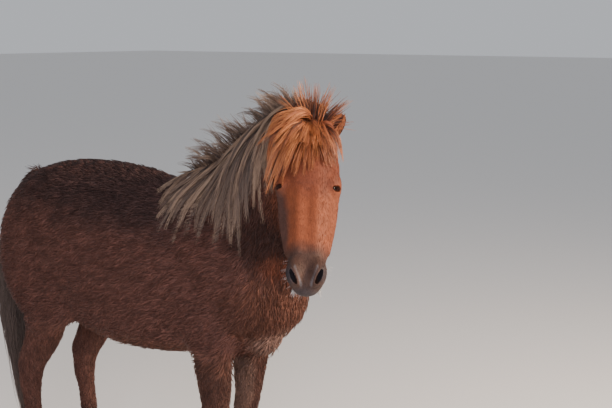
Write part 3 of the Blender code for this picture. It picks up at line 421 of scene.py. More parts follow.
def lid(side, upper, reach, height, thick):
    """A rolled lid or fold from the inner corner to the outer one, above or below the eye."""
    up = eye_place(side).to_3x3().inverted() @ Vector(HEAD.col[0][:3]) * -1
    over = (1 if up.y > 0 else -1) * (1 if upper else -1)
    row = []
    for k in range(11):
        angle = math.pi * k / 10
        across = over * height * math.sin(angle)
        along = -reach * math.cos(angle) - 0.0015
        out = math.sqrt(max(0.0226**2 - across**2 - along**2, 0.0))
        row.append((along, across, out, thick, thick, thick))
    return limb(row, eye_place(side))


def carve_head(flesh):
    """The mouth's line, the nostrils with their rolled rims, and the eyes half closed between their lids."""
    flesh.cut(mass((0.545, 0, -0.0905), (0.085, 0.075, 0.0016), HEAD, drop=-0.10), 0.006)
    for side in (1, -1):
        ridge = [(x, 0.026 * side, z, 0.011, 0.009, 0.009) for x, z in ((0.24, -0.008), (0.34, -0.012), (0.45, -0.021))]
        flesh.add(limb(ridge, HEAD), 0.016)
        cheek = [(x, y * side, z, 0.016, 0.013, 0.013) for x, y, z in ((0.12, 0.078, -0.050), (0.18, 0.083, -0.062),
                                                                       (0.24, 0.083, -0.068), (0.33, 0.075, -0.068),
                                                                       (0.43, 0.056, -0.068))]
        flesh.add(limb(cheek, HEAD), 0.022)
        at = sides(NOSTRIL_AT, side)
        rim = mass(at, (0.036, 0.0165, 0.020), HEAD, turn=-0.36 * side, drop=0.25, roll=-0.5 * side)
        flesh.add(rim, 0.008)
        flesh.cut(mass(at, (0.0275, 0.0085, 0.0260), HEAD, turn=-0.36 * side, drop=0.25, roll=-0.5 * side), 0.005)
        flesh.add(mass((-0.002, 0, 0.002), (0.030, 0.023, 0.0150), eye_place(side)), 0.016)
        flesh.cut(mass((-0.0015, -0.0030, 0.0250), (0.0195, 0.0098, 0.0178), eye_place(side)), 0.002)
        flesh.add(lid(side, True, 0.0190, 0.0052, 0.0034), 0.002)
        flesh.add(lid(side, False, 0.0190, 0.0110, 0.0025), 0.002)
        flesh.add(lid(side, True, 0.0220, 0.0135, 0.0042), 0.006)


# Muscles and bones that show in the trunk's outline: centre on the left side, radii, drop and melt.
MUSCLES = {
    "shoulder blade": ((0.125, 0.112, 1.120), (0.105, 0.085, 0.250), -0.55, 0.06),
    "upper arm": ((0.060, 0.148, 0.940), (0.145, 0.070, 0.115), 0.35, 0.05),
    "point of the shoulder": ((0.260, 0.110, 0.990), (0.090, 0.072, 0.105), -0.40, 0.05),
    "breast": ((0.315, 0.060, 0.960), (0.078, 0.072, 0.110), 0.25, 0.04),
    "croup": ((-0.72, 0.092, 1.230), (0.230, 0.145, 0.150), -0.10, 0.06),
    "point of the hip": ((-0.50, 0.180, 1.220), (0.085, 0.055, 0.060), 0.0, 0.08),
    "thigh": ((-0.885, 0.120, 1.035), (0.160, 0.110, 0.235), -0.10, 0.06),
    "stifle": ((-0.665, 0.168, 0.860), (0.080, 0.062, 0.120), 0.25, 0.05),
}


def build_trunk(flesh):
    flesh.add(trunk(), 0.03)
    withers = mass((-0.01, 0, 1.280), (0.24, 0.065, 0.105))
    flesh.add(withers, 0.07)
    for centre, radii, drop, melt in MUSCLES.values():
        for side in (1, -1):
            flesh.add(mass(sides(centre, side), radii, drop=drop), melt)
    girth = mass((0.150, 0, 0.830), (0.175, 0.095, 0.085))
    flesh.add(girth, 0.06)
    flesh.add(neck(), 0.07)
    flesh.add(limb(TAIL_ROOT, dorsal=(1, 0, 0)), 0.04)


# Legs: x, y, z, half width, reach forward and reach back.
FORELEG = (
    (0.105, 0.126, 0.930, 0.070, 0.120, 0.130),
    (0.112, 0.124, 0.835, 0.068, 0.102, 0.106),
    (0.120, 0.119, 0.745, 0.062, 0.082, 0.082),
    (0.124, 0.115, 0.645, 0.055, 0.065, 0.065),
    (0.123, 0.113, 0.550, 0.048, 0.054, 0.052),
    (0.114, 0.114, 0.475, 0.045, 0.050, 0.047),
    (0.118, 0.114, 0.415, 0.048, 0.051, 0.048),
    (0.118, 0.114, 0.365, 0.044, 0.045, 0.044),
    (0.115, 0.114, 0.310, 0.036, 0.037, 0.040),
    (0.115, 0.114, 0.240, 0.034, 0.035, 0.041),
    (0.116, 0.114, 0.185, 0.036, 0.037, 0.048),
    (0.118, 0.114, 0.145, 0.042, 0.043, 0.058),
    (0.136, 0.115, 0.103, 0.041, 0.040, 0.056),
    (0.151, 0.116, 0.070, 0.049, 0.048, 0.060),
    (0.157, 0.116, 0.040, 0.051, 0.051, 0.060),
    (0.157, 0.116, 0.010, 0.051, 0.051, 0.060),
)
HINDLEG = (
    (-0.840, 0.105, 1.150, 0.080, 0.110, 0.110),
    (-0.835, 0.128, 1.030, 0.110, 0.170, 0.170),
    (-0.815, 0.142, 0.920, 0.105, 0.172, 0.165),
    (-0.790, 0.146, 0.820, 0.086, 0.135, 0.128),
    (-0.800, 0.144, 0.730, 0.068, 0.100, 0.098),
    (-0.838, 0.140, 0.640, 0.055, 0.072, 0.072),
    (-0.885, 0.137, 0.560, 0.047, 0.056, 0.056),
    (-0.912, 0.135, 0.495, 0.045, 0.052, 0.056),
    (-0.918, 0.134, 0.440, 0.042, 0.047, 0.050),
    (-0.912, 0.134, 0.380, 0.036, 0.038, 0.041),
    (-0.905, 0.134, 0.290, 0.035, 0.036, 0.042),
    (-0.900, 0.134, 0.210, 0.037, 0.038, 0.049),
    (-0.894, 0.134, 0.160, 0.043, 0.044, 0.060),
    (-0.872, 0.135, 0.112, 0.042, 0.041, 0.058),
    (-0.855, 0.136, 0.072, 0.050, 0.049, 0.061),
    (-0.849, 0.136, 0.040, 0.052, 0.052, 0.061),
    (-0.849, 0.136, 0.010, 0.052, 0.052, 0.061),
)
LEFT_FORE_BACK = 0.08          # the left foreleg stands this far behind the right one
LEFT_HIND_AHEAD = 0.06


def leg_shift(side, fore):
    if fore:
        return -LEFT_FORE_BACK if side > 0 else 0.0
    return LEFT_HIND_AHEAD if side > 0 else 0.0


def leg(stations, side, shift):
    """One leg. The shift grows from nothing at the top to the whole at the hoof."""
    rows = []
    top, low = stations[0][2], stations[-1][2]
    for x, y, z, wide, fore, aft in stations:
        share = (top - z) / (top - low)
        rows.append((x + shift * share, y * side, z, wide, fore, aft))
    return limb(rows, square=2.1, dorsal=(1, 0, 0))


def build_legs(flesh):
    for side in (1, -1):
        hind = leg_shift(side, False)
        flesh.add(leg(FORELEG, side, leg_shift(side, True)), 0.035)
        flesh.add(leg(HINDLEG, side, hind), 0.05)
        hock = hind * 0.5
        flesh.add(mass((-0.952 + hock, 0.135 * side, 0.540), (0.024, 0.020, 0.050), drop=0.10), 0.02)
        flesh.add(mass((-0.915 + hock, 0.137 * side, 0.640), (0.022, 0.018, 0.110), drop=0.42), 0.04)


# The dock: its root on the croup, and the bone it carries down inside the tail.
TAIL_ROOT = (
    (-0.950, 0, 1.330, 0.050, 0.050, 0.050),
    (-1.035, 0, 1.285, 0.042, 0.043, 0.043),
    (-1.095, 0, 1.205, 0.038, 0.036, 0.038),
    (-1.125, 0, 1.110, 0.030, 0.028, 0.030),
)
DOCK = (
    (-1.108, 0.000, 1.165, 0.032, 0.030, 0.032),
    (-1.120, 0.000, 1.100, 0.040, 0.032, 0.038),
    (-1.137, 0.002, 0.960, 0.036, 0.028, 0.034),
    (-1.143, 0.004, 0.820, 0.026, 0.018, 0.024),
    (-1.143, 0.004, 0.740, 0.012, 0.010, 0.010),
)


def grow_body():
    body = Flesh((-1.30, -0.42, -0.02), (0.86, 0.42, 1.86), BODY_GRID)
    build_trunk(body)
    build_legs(body)
    head_flesh(body)
    body.add(limb(DOCK, dorsal=(1, 0, 0)), 0.012)
    return body.skin()


def grow_head():
    head = Flesh((-0.20, -0.20, -0.36), (0.62, 0.20, 0.13), HEAD_GRID, HEAD)
    head.add(neck(), 0.02)
    head_flesh(head)
    carve_head(head)
    return head.skin()


def cut_mesh(points, faces, plane, keep_ahead, within=None):
    """A surface cut by a plane's X = 0. Keeps what lies ahead of it, or behind it, and all that within leaves out."""
    shape = bmesh.new()
    verts = [shape.verts.new(p) for p in points]
    for face in faces:
        shape.faces.new([verts[i] for i in face])
    chosen = shape.faces
    if within is not None:
        chosen = [f for f in shape.faces if within(f.calc_center_median())]
    parts = list(chosen) + list({e for f in chosen for e in f.edges}) + list({v for f in chosen for v in f.verts})
    way = plane.to_3x3() @ Vector((1, 0, 0))
    bmesh.ops.bisect_plane(shape, geom=parts, plane_co=plane.translation, plane_no=way, dist=1e-5,
                           clear_inner=keep_ahead, clear_outer=not keep_ahead)
    bmesh.ops.delete(shape, geom=[v for v in shape.verts if not v.link_faces], context="VERTS")
    return shape


def keep_biggest(shape):
    """Drops every loose piece of a surface but the one with most faces."""
    groups = []
    seen = set()
    for first in shape.verts:
        if first in seen:
            continue
        seen.add(first)
        stack = [first]
        group = []
        while stack:
            vert = stack.pop()
            group.append(vert)
            for edge in vert.link_edges:
                other = edge.other_vert(vert)
                if other not in seen:
                    seen.add(other)
                    stack.append(other)
        groups.append(group)
    groups.sort(key=len, reverse=True)
    bmesh.ops.delete(shape, geom=[v for group in groups[1:] for v in group], context="VERTS")


def head_seam():
    """The ring behind the jaw where neck and head meet, with +X towards the head."""
    rows = neck_rows()
    first, last = Vector(rows[4][:3]), Vector(rows[5][:3])
    along = last - first
    return frame_at(first + along * 0.25, math.atan2(along.y, along.x), -0.49)


def rim(shape, seam):
    """The open edge of a cut surface, in order round the seam's middle."""
    inverse = seam.inverted()
    verts = {v for e in shape.edges if e.is_boundary for v in e.verts}
    spots = [(inverse @ v.co, v) for v in verts]
    middle = sum((p for p, _ in spots), Vector()) / len(spots)
    return sorted(((math.atan2(p.z - middle.z, p.y - middle.y), v.co.copy()) for p, v in spots), key=lambda r: r[0])


HOOF_HEIGHT = 0.058            # at the middle of the coronet
HOOF_SLOPE = math.radians(21)  # the coronet drops this much towards the heel
CROWN_BACK = 0.020             # how far the coronet's middle lies behind the sole's
FORE_SOLE = 0.172
HIND_SOLE = -0.834
SOLE_OUT = (0.116, 0.136)      # fore, hind


def soles():
    for side in (1, -1):
        yield "fore", side, FORE_SOLE + leg_shift(side, True), SOLE_OUT[0] * side
        yield "hind", side, HIND_SOLE + leg_shift(side, False), SOLE_OUT[1] * side


def one_hide():
    """Body and head as one closed surface: points, faces and how many points the body has."""
    seam = head_seam()
    half_strip = 0.003
    body = cut_mesh(*grow_body(), seam @ Matrix.Translation((-half_strip, 0, 0)), False)
    keep_biggest(body)
    for _, _, x, y in soles():
        crown = frame_at((x - CROWN_BACK, y, HOOF_HEIGHT - 0.003), drop=-HOOF_SLOPE - math.pi / 2)
        foot = [f for f in body.faces if f.calc_center_median().z < 0.14
                and (f.calc_center_median().xy - Vector((x - CROWN_BACK, y))).length < 0.11]
        parts = foot + list({e for f in foot for e in f.edges}) + list({v for f in foot for v in f.verts})
        up = crown.to_3x3() @ Vector((1, 0, 0))
        bmesh.ops.bisect_plane(body, geom=parts, plane_co=crown.translation, plane_no=up, dist=1e-5, clear_inner=True)
        ring = [e for e in body.edges if e.is_boundary and e.verts[0].co.z < 0.14]
        bmesh.ops.edgeloop_fill(body, edges=ring)
    head = cut_mesh(*grow_head(), seam @ Matrix.Translation((half_strip, 0, 0)), True)
    keep_biggest(head)
    rims = [rim(shape, seam) for shape in (body, head)]
    number = {}
    points = []
    faces = []
    for shape in (body, head):
        for vert in shape.verts:
            key = tuple(round(c, 6) for c in vert.co)
            if key not in number:
                number[key] = len(points)
                points.append(vert.co.copy())
        for face in shape.faces:
            faces.append([number[tuple(round(c, 6) for c in v.co)] for v in face.verts])
    on_body = len({tuple(round(c, 6) for c in v.co) for v in body.verts})
    rings = [[(angle, number[tuple(round(c, 6) for c in co)]) for angle, co in row] for row in rims]
    i = j = 0
    first, second = rings
    while i < len(first) or j < len(second):
        a, b = first[i % len(first)][1], second[j % len(second)][1]
        ahead = first[i][0] if i < len(first) else 9
        other = second[j][0] if j < len(second) else 9
        if ahead <= other:
            i += 1
            faces.append([a, first[i % len(first)][1], b])
        else:
            j += 1
            faces.append([a, second[j % len(second)][1], b])
    body.free()
    head.free()
    return points, faces, on_body


def blend_in(values, low, high):
    """0 below low and 1 above high, with a soft turn between."""
    share = np.clip((values - low) / (high - low), 0, 1)
    return share * share * (3 - 2 * share)


def near(points, centre, radii):
    """1 at the middle of a patch, 0 outside it."""
    return 1 - blend_in(lengths((points - np.array(centre)) / np.array(radii)), 0.4, 1.0)


def unit(rows):
    return rows / np.maximum(lengths(rows), 1e-9)[:, None]


def give(mesh, name, values, kind="FLOAT_VECTOR", domain="POINT"):
    """Stores one attribute on a mesh."""
    layer = mesh.attributes.new(name, kind, domain)
    key = {"FLOAT": "value", "FLOAT_VECTOR": "vector", "FLOAT2": "vector"}[kind]
    layer.data.foreach_set(key, np.ascontiguousarray(values, np.float32).ravel())


# How far the hair lies over the skin, and how long the tufts are: middle of the patch, its radii, depth, length.
HAIR = 0.010, 0.046
HAIR_ON_LEGS = 0.004, 0.024
HAIR_ON_HEAD = 0.0028, 0.010
BARE_FACE = (                  # on the head's own frame: eyes, nostrils, lips
    ((0.203, 0.085, -0.045), (0.045, 0.050, 0.040)),
    ((0.203, -0.085, -0.045), (0.045, 0.050, 0.040)),
    ((0.525, 0.040, -0.025), (0.055, 0.045, 0.050)),
    ((0.525, -0.040, -0.025), (0.055, 0.045, 0.050)),
    ((0.545, 0.0, -0.085), (0.070, 0.065, 0.050)),
)


def read_place(points):
    """What each point of the hide knows: its spot on the head, hair depth and length, and the way the hair lies."""
    seam = np.array(head_seam().inverted())
    own = np.array(HEAD.inverted())
    along_seam = points @ seam[:3, :3].T + seam[:3, 3]
    face = points @ own[:3, :3].T + own[:3, 3]
    on_head = blend_in(along_seam[:, 0], -0.02, 0.06) * (points[:, 0] > 0.3)
    on_leg = 1 - blend_in(points[:, 2], 0.62, 0.80)
    bare = np.zeros(len(points))
    for centre, radii in BARE_FACE:
        bare = np.maximum(bare, near(face, centre, radii) * on_head)
    depth, long = (HAIR[k] + (HAIR_ON_LEGS[k] - HAIR[k]) * on_leg + (HAIR_ON_HEAD[k] - HAIR[k]) * on_head
                   for k in (0, 1))
    depth = depth * (1 - 0.75 * bare)
    long = long * (1 - 0.55 * bare)
    fetlock = np.zeros(len(points))
    for _, _, x, y in soles():
        fetlock = np.maximum(fetlock, near(points, (x - 0.095, y, 0.115), (0.06, 0.06, 0.07)))
    jaw = near(face, (0.10, 0.0, -0.22), (0.20, 0.09, 0.07)) * on_head
    belly = near(points, (-0.25, 0, 0.70), (0.75, 0.22, 0.12))
    fringe = near(points, (0.335, -0.01, 0.855), (0.11, 0.12, 0.10))
    long = long * (1 + 1.1 * fetlock + 1.6 * jaw + 0.35 * belly + 0.5 * fringe)
    rows = smooth_rows(neck_rows(), 3)
    gaps = np.stack([lengths(points - row[:3]) for row in rows], axis=1)
    share = np.argmin(gaps, axis=1) / (len(rows) - 1)
    steps = unit(np.gradient(rows[:, :3], axis=0))
    up_neck = steps[np.argmin(gaps, axis=1)]
    on_neck = blend_in(share, 0.05, 0.45) * (1 - on_head) * (points[:, 0] > 0.0)
    trunk_way = np.array([-1.0, 0.0, -0.50])
    breast = near(points, (0.42, 0.0, 1.0), (0.25, 0.30, 0.35))
    way = trunk_way * (1 - breast)[:, None] + np.array([-0.15, 0.0, -1.0]) * breast[:, None]
    way = way * (1 - on_neck)[:, None] + (np.array([0.0, 0.0, -0.85]) - up_neck * 0.75) * on_neck[:, None]
    way = way * (1 - on_leg)[:, None] + np.array([-0.08, 0.0, -1.0]) * on_leg[:, None]
    down_face = np.array(HEAD.col[0][:3])
    way = way * (1 - on_head)[:, None] + (down_face + np.array([0, 0, -0.15])) * on_head[:, None]
    return face, depth, long, way, on_head, on_leg


points, faces, on_body = one_hide()
mesh = bpy.data.meshes.new("hide")
mesh.from_pydata(points, [], faces)
shape = bmesh.new()
shape.from_mesh(mesh)
bmesh.ops.triangulate(shape, faces=[f for f in shape.faces if len(f.verts) > 4])
bmesh.ops.recalc_face_normals(shape, faces=shape.faces)
if shape.calc_volume(signed=True) < 0:
    bmesh.ops.reverse_faces(shape, faces=shape.faces)
shape.verts.ensure_lookup_table()
for _ in range(3):
    bmesh.ops.smooth_vert(shape, verts=shape.verts[:on_body], factor=0.5, use_axis_x=True, use_axis_y=True,
                          use_axis_z=True)
bmesh.ops.smooth_vert(shape, verts=shape.verts[on_body:], factor=0.35, use_axis_x=True, use_axis_y=True,
                      use_axis_z=True)
shape.normal_update()
spots = np.array([v.co for v in shape.verts])
facing = np.array([v.normal for v in shape.verts])
shape.to_mesh(mesh)
shape.free()
face_spots, depth, long, lie, on_head, on_leg = read_place(spots)
spots = spots - facing * depth[:, None]
mesh.vertices.foreach_set("co", spots.astype(np.float32).ravel())
mesh.shade_smooth()
lie = unit(lie - facing * (lie * facing).sum(axis=1)[:, None])


EAR_AT = (0.045, 0.051, -0.038)
EAR_ALONG = (-0.127, 0.047, -0.0145)
EAR_OPENS = (0.40, 0.36, 0.85)
EAR_LENGTH = 0.136
EAR = (                        # share of its length, half width, and how far the front is cupped
    (0.00, 0.0060, 0.70),
    (0.12, 0.0170, 0.60),
    (0.24, 0.0250, 0.30),
    (0.36, 0.0290, -0.30),
    (0.46, 0.0305, -0.62),
    (0.60, 0.0300, -0.66),
    (0.74, 0.0265, -0.62),
    (0.88, 0.0195, -0.55),
    (0.97, 0.0100, -0.40),
)


def ear_place(side):
    along = Vector(sides(EAR_ALONG, side)).normalized()
    opens = Vector(sides(EAR_OPENS, side))
    opens = (opens - along * opens.dot(along)).normalized()
    across = opens.cross(along)
    frame_here = Matrix((along, across, opens)).transposed().to_4x4()
    return HEAD @ Matrix.Translation(sides(EAR_AT, side)) @ frame_here


def loft(rings, tip=None):
    """Points and faces through rings of like count, closed at the first and by the tip or flat at the last."""
    points = [p for ring in rings for p in ring]
    count = len(rings[0])
    faces = [tuple(reversed(range(count)))]
    for i in range(len(rings) - 1):
        for k in range(count):
            a, b = i * count + k, i * count + (k + 1) % count
            faces.append((a, b, b + count, a + count))
    last = (len(rings) - 1) * count
    if tip is None:
        faces.append(tuple(range(last, last + count)))
    else:
        points.append(tip)
        faces += [(last + k, last + (k + 1) % count, len(points) - 1) for k in range(count)]
    return points, faces


def ear(side):
    """A cupped ear on a flat root. Its tip bends in towards the poll."""
    back, front = 17, 13
    place = ear_place(side)
    rings = []
    for share, wide, bulge in smooth_rows(EAR, 3):
        centre = Vector((share * EAR_LENGTH, -0.014 * side * share**2, 0.012 * share**2))
        ring = []
        for i in range(back):
            angle = math.pi * (1 + i / (back - 1))
            ring.append(centre + Vector((0, wide * math.cos(angle), 0.80 * wide * math.sin(angle))))
        for i in range(1, front + 1):
            angle = math.pi * i / (front + 1)
            ring.append(centre + Vector((0, wide * math.cos(angle), bulge * wide * math.sin(angle))))
        rings.append([place @ p for p in ring])
    tip = place @ Vector((EAR_LENGTH * 0.985, -0.015 * side, 0.012))
    points, faces = loft(rings, tip)
    way = (place.to_3x3() @ Vector((1, 0, 0))).normalized()
    # The middle of the ear's cupped front, where painted shade goes inside the cup.
    cup_shade = np.array([1.0 if k % (back + front) >= back and len(points) * 0.3 < k < len(points) - 1 else 0.0 for k in range(len(points))])
    return np.array(points), faces, np.array(way), cup_shade


# The two ears grow out of the hide and belong to it.
corners = [list(poly.vertices) for poly in mesh.polygons]
cupped = np.zeros(len(spots))
for side in (1, -1):
    ear_points, ear_faces, way, cup_shade = ear(side)
    base = len(spots)
    own = np.array(HEAD.inverted())
    spots = np.vstack([spots, ear_points])
    face_spots = np.vstack([face_spots, ear_points @ own[:3, :3].T + own[:3, 3]])
    lie = np.vstack([lie, np.tile(way, (len(ear_points), 1))])
    cupped = np.concatenate([cupped, cup_shade])
    long = np.concatenate([long, np.full(len(ear_points), 0.014)])
    on_head = np.concatenate([on_head, np.full(len(ear_points), 2.0)])
    on_leg = np.concatenate([on_leg, np.zeros(len(ear_points))])
    corners += [[base + i for i in face] for face in ear_faces]
hide_mesh = bpy.data.meshes.new("hide")
hide_mesh.from_pydata(spots.tolist(), [], corners)
bpy.data.meshes.remove(mesh)
hide_mesh.shade_smooth()
facing = np.empty(len(spots) * 3, np.float32)
hide_mesh.vertex_normals.foreach_get("vector", facing)
facing = facing.reshape(-1, 3)
lie = unit(lie - facing * (lie * facing).sum(axis=1)[:, None])
give(hide_mesh, "root", spots)
give(hide_mesh, "face", face_spots)
give(hide_mesh, "lie", lie)
give(hide_mesh, "long", long, "FLOAT")
give(hide_mesh, "on_head", np.minimum(on_head, 1), "FLOAT")

rims = np.zeros(len(spots))
for side in (1, -1):
    for k in range(7):
        share = k / 6
        at = (0.506 + 0.046 * share, 0.0345 - 0.0190 * share, -0.014 - 0.018 * share)
        rims = np.maximum(rims, near(face_spots, sides(at, side), (0.012, 0.0058, 0.024)))
give(hide_mesh, "rims", rims * 0.32, "FLOAT")
give(hide_mesh, "cupped", cupped, "FLOAT")

# The hide is laid out flat from the six ways its faces look, left and right apart.
UNWRAP = 0.112                 # of the map's width to a metre
ways = np.empty(len(hide_mesh.polygons) * 3, np.float32)
hide_mesh.polygons.foreach_get("normal", ways)
ways = ways.reshape(-1, 3)
mids = np.empty(len(hide_mesh.polygons) * 3, np.float32)
hide_mesh.polygons.foreach_get("center", mids)
mids = mids.reshape(-1, 3)
axis = np.argmax(np.abs(ways), axis=1)
cell = axis * 4 + (ways[np.arange(len(axis)), axis] > 0) * 2 + (mids[:, 1] > 0)
sizes = np.array([len(c) for c in corners])
cell = np.repeat(cell, sizes)
corner_spots = spots[np.concatenate([np.array(c) for c in corners])]
flat = np.where((cell // 4 == 0)[:, None], corner_spots[:, (1, 2)], corner_spots[:, (0, 2)])
flat = np.where((cell // 4 == 2)[:, None], corner_spots[:, (0, 1)], flat)
middle = np.array(((0.0, 0.9), (-0.2, 0.9), (-0.2, 0.0)))[cell // 4]
flat = (flat - middle) * UNWRAP + np.stack([cell % 4 * 0.25 + 0.125, cell // 4 * 0.33 + 0.17], axis=1)
hide_mesh.uv_layers.new(name="OFBake")
hide_mesh.attributes["OFBake"].data.foreach_set("vector", flat.astype(np.float32).ravel())
give(hide_mesh, "flat", flat, "FLOAT2", "CORNER")


def linear(code):
    """An sRGB hex colour as linear RGBA."""
    parts = [int(code[i : i + 2], 16) / 255 for i in (1, 3, 5)]
    return tuple(p / 12.92 if p <= 0.04045 else ((p + 0.055) / 1.055) ** 2.4 for p in parts) + (1,)


def add(tree, kind, inputs=(), **settings):
    """Adds a node: its settings by name, its inputs by name or number, as values or links."""
    new = tree.nodes.new(kind)
    for name, value in settings.items():
        setattr(new, name, value)
    for key, value in dict(inputs).items():
        if isinstance(value, bpy.types.NodeSocket):
            tree.links.new(value, new.inputs[key])
        else:
            new.inputs[key].default_value = value
    return new


# Markings of a dark liver chestnut in winter, with painted light and shade among them on the face, neck and breast:
# where (trunk or head frame), middle, radii, colour, how strong.
COAT = "#6a453b"
PATCHES = (
    ("root", (-0.30, 0.0, 1.30), (1.00, 0.30, 0.16), "#3d2b28", 0.85),       # darker along the back
    ("root", (-0.20, 0.0, 0.68), (0.95, 0.30, 0.16), "#5f3b2c", 0.8),        # warmer belly
    ("root", (0.20, 0.0, 1.06), (0.30, 0.35, 0.30), "#69443a", 0.8),         # shoulder
    ("root", (0.40, 0.0, 0.95), (0.26, 0.24, 0.22), "#5c3829", 0.8),         # breast
    ("root", (0.40, 0.0, 1.42), (0.42, 0.30, 0.36), "#4a2b22", 0.8),         # painted shade under the mane
    ("root", (0.17, 0.0, 0.45), (0.30, 0.40, 0.36), "#462c24", 0.85),        # forelegs
    ("root", (-0.86, 0.0, 0.40), (0.30, 0.40, 0.40), "#5a3a30", 0.8),        # hindlegs
    ("root", (0.12, 0.0, 0.12), (0.34, 0.40, 0.20), "#2c1d19", 0.8),         # dark feet
    ("root", (-0.86, 0.0, 0.12), (0.34, 0.40, 0.20), "#2c1d19", 0.8),
    ("root", (0.36, -0.14, 1.25), (0.12, 0.12, 0.13), "#341e18", 0.75),      # shaded neck under the mane
    ("root", (0.42, 0.0, 1.145), (0.10, 0.22, 0.055), "#7d452f", 0.6),       # rust on the lower neck
    ("root", (0.325, -0.01, 0.845), (0.085, 0.10, 0.085), "#84695c", 0.55),  # pale fringe of the breast: painted rim light on its long hair
    ("root", (0.085, 0.055, 0.60), (0.11, 0.050, 0.24), "#7d6255", 0.5),     # pale inside of the forelegs
    ("root", (0.115, -0.055, 0.60), (0.11, 0.045, 0.24), "#7d6255", 0.4),
    ("face", (0.20, 0.0, -0.08), (0.36, 0.17, 0.24), "#773e25", 1.0),        # chestnut face, partly painted warm sunlight: oranger than the body
    ("face", (0.14, 0.09, -0.15), (0.20, 0.09, 0.13), "#87492f", 0.5),       # cheeks, painted light: the left one lighter as if lit, the right one darker as if shaded
    ("face", (0.14, -0.09, -0.15), (0.20, 0.09, 0.13), "#5f3728", 0.7),
    ("face", (0.06, 0.0, -0.26), (0.18, 0.10, 0.12), "#6b4234", 0.8),        # jaw and throat
    ("face", (0.14, 0.02, 0.0), (0.13, 0.14, 0.09), "#602f1d", 0.8),         # darker brow
    ("face", (0.32, 0.085, -0.09), (0.18, 0.048, 0.09), "#6f3f2b", 0.4),     # painted shade on the sides of the face, strong on the right and weak on the left
    ("face", (0.32, -0.085, -0.09), (0.18, 0.048, 0.09), "#4c322a", 0.95),
    ("face", (0.51, 0.0, -0.07), (0.105, 0.12, 0.13), "#3d2b24", 0.95),      # dark muzzle
    ("face", (0.605, 0.0, -0.095), (0.068, 0.085, 0.070), "#3a3334", 0.85),   # grey nose and lips
    ("face", (0.208, 0.085, -0.045), (0.026, 0.022, 0.022), "#3a2018", 0.8), # round the eyes
    ("face", (0.208, -0.085, -0.045), (0.026, 0.022, 0.022), "#3a2018", 0.8),
    ("face", (0.520, 0.046, -0.028), (0.034, 0.020, 0.026), "#2f2c30", 0.9), # nostrils
    ("face", (0.520, -0.046, -0.028), (0.034, 0.020, 0.026), "#2f2c30", 0.9),
)


def markings_and_painted_light(tree):
    """The colour of the coat at a hair's root, from the patches above with soft, uneven edges, their painted light and
    shade included; then the pale nostril rims and the painted shade inside the ears' cups.
    """
    places = {name: add(tree, "ShaderNodeAttribute", attribute_name=name).outputs["Vector"]
              for name in ("root", "face")}
    uneven = add(tree, "ShaderNodeTexNoise", {"Vector": places["root"], "Scale": 14.0, "Detail": 4.0})
    uneven = add(tree, "ShaderNodeMath", {0: uneven.outputs["Fac"], 1: 0.55, 2: -0.275}, operation="MULTIPLY_ADD")
    colour = None
    for name, middle, radii, code, strength in PATCHES:
        off = add(tree, "ShaderNodeVectorMath", {0: places[name], 1: middle}, operation="SUBTRACT")
        off = add(tree, "ShaderNodeVectorMath", {0: off.outputs[0], 1: radii}, operation="DIVIDE")
        far = add(tree, "ShaderNodeVectorMath", {0: off.outputs[0]}, operation="LENGTH")
        far = add(tree, "ShaderNodeMath", {0: far.outputs["Value"], 1: uneven.outputs[0]}, operation="ADD")
        share = add(tree, "ShaderNodeMapRange", {"Value": far.outputs[0], "From Min": 1.15, "From Max": 0.65,
                                                "To Min": 0.0, "To Max": strength},
                    interpolation_type="SMOOTHSTEP")
        mix = add(tree, "ShaderNodeMix", {0: share.outputs["Result"], 7: linear(code)}, data_type="RGBA")
        if colour is None:
            mix.inputs[6].default_value = linear(COAT)
        else:
            tree.links.new(colour, mix.inputs[6])
        colour = mix.outputs[2]
    rim = add(tree, "ShaderNodeAttribute", attribute_name="rims").outputs["Fac"]
    mix = add(tree, "ShaderNodeMix", {0: rim, 6: colour, 7: linear("#787b80")}, data_type="RGBA")
    # Painted shade inside the cups of the ears.
    inside = add(tree, "ShaderNodeAttribute", attribute_name="cupped").outputs["Fac"]
    mix = add(tree, "ShaderNodeMix", {0: inside, 6: mix.outputs[2], 7: linear("#2c130b")}, data_type="RGBA")
    return mix.outputs[2]


def new_material(name):
    material = bpy.data.materials.new(name)
    material.use_nodes = True
    tree = material.node_tree
    return material, tree, tree.nodes["Principled BSDF"]


# Skin with short hair lying flat on it: matte, with fine streaks 2 mm apart along the lie of the coat.
short_coat, tree, shader = new_material("short_flat_coat")
shade = markings_and_painted_light(tree)
place = add(tree, "ShaderNodeAttribute", attribute_name="face").outputs["Vector"]
streaks = add(tree, "ShaderNodeMapping", {"Vector": place, "Scale": (60, 420, 420)})
streaks = add(tree, "ShaderNodeTexNoise", {"Vector": streaks.outputs[0], "Scale": 1.0, "Detail": 3.0})
mottle = add(tree, "ShaderNodeTexNoise", {"Vector": place, "Scale": 45.0, "Detail": 3.0})
both = add(tree, "ShaderNodeMath", {0: streaks.outputs["Fac"], 1: mottle.outputs["Fac"]}, operation="ADD")
bright = add(tree, "ShaderNodeMapRange", {"Value": both.outputs[0], "From Min": 0.7, "From Max": 1.3,
                                         "To Min": 0.72, "To Max": 1.22})
tinted = add(tree, "ShaderNodeVectorMath", {0: shade, "Scale": bright.outputs[0]}, operation="SCALE")
tree.links.new(tinted.outputs[0], shader.inputs["Base Color"])
shader.inputs["Roughness"].default_value = 0.62
shader.inputs["Specular IOR Level"].default_value = 0.2
bump = add(tree, "ShaderNodeBump", {"Height": streaks.outputs["Fac"], "Strength": 0.5, "Distance": 0.002})
tree.links.new(bump.outputs[0], shader.inputs["Normal"])

# Each finished piece is moved from the animal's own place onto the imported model, by where its left eye lies.
eye_low, eye_high = (Vector(corner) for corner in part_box("eye_left"))
SHIFT = (eye_low + eye_high) / 2 - HEAD @ Vector(EYE_AT)


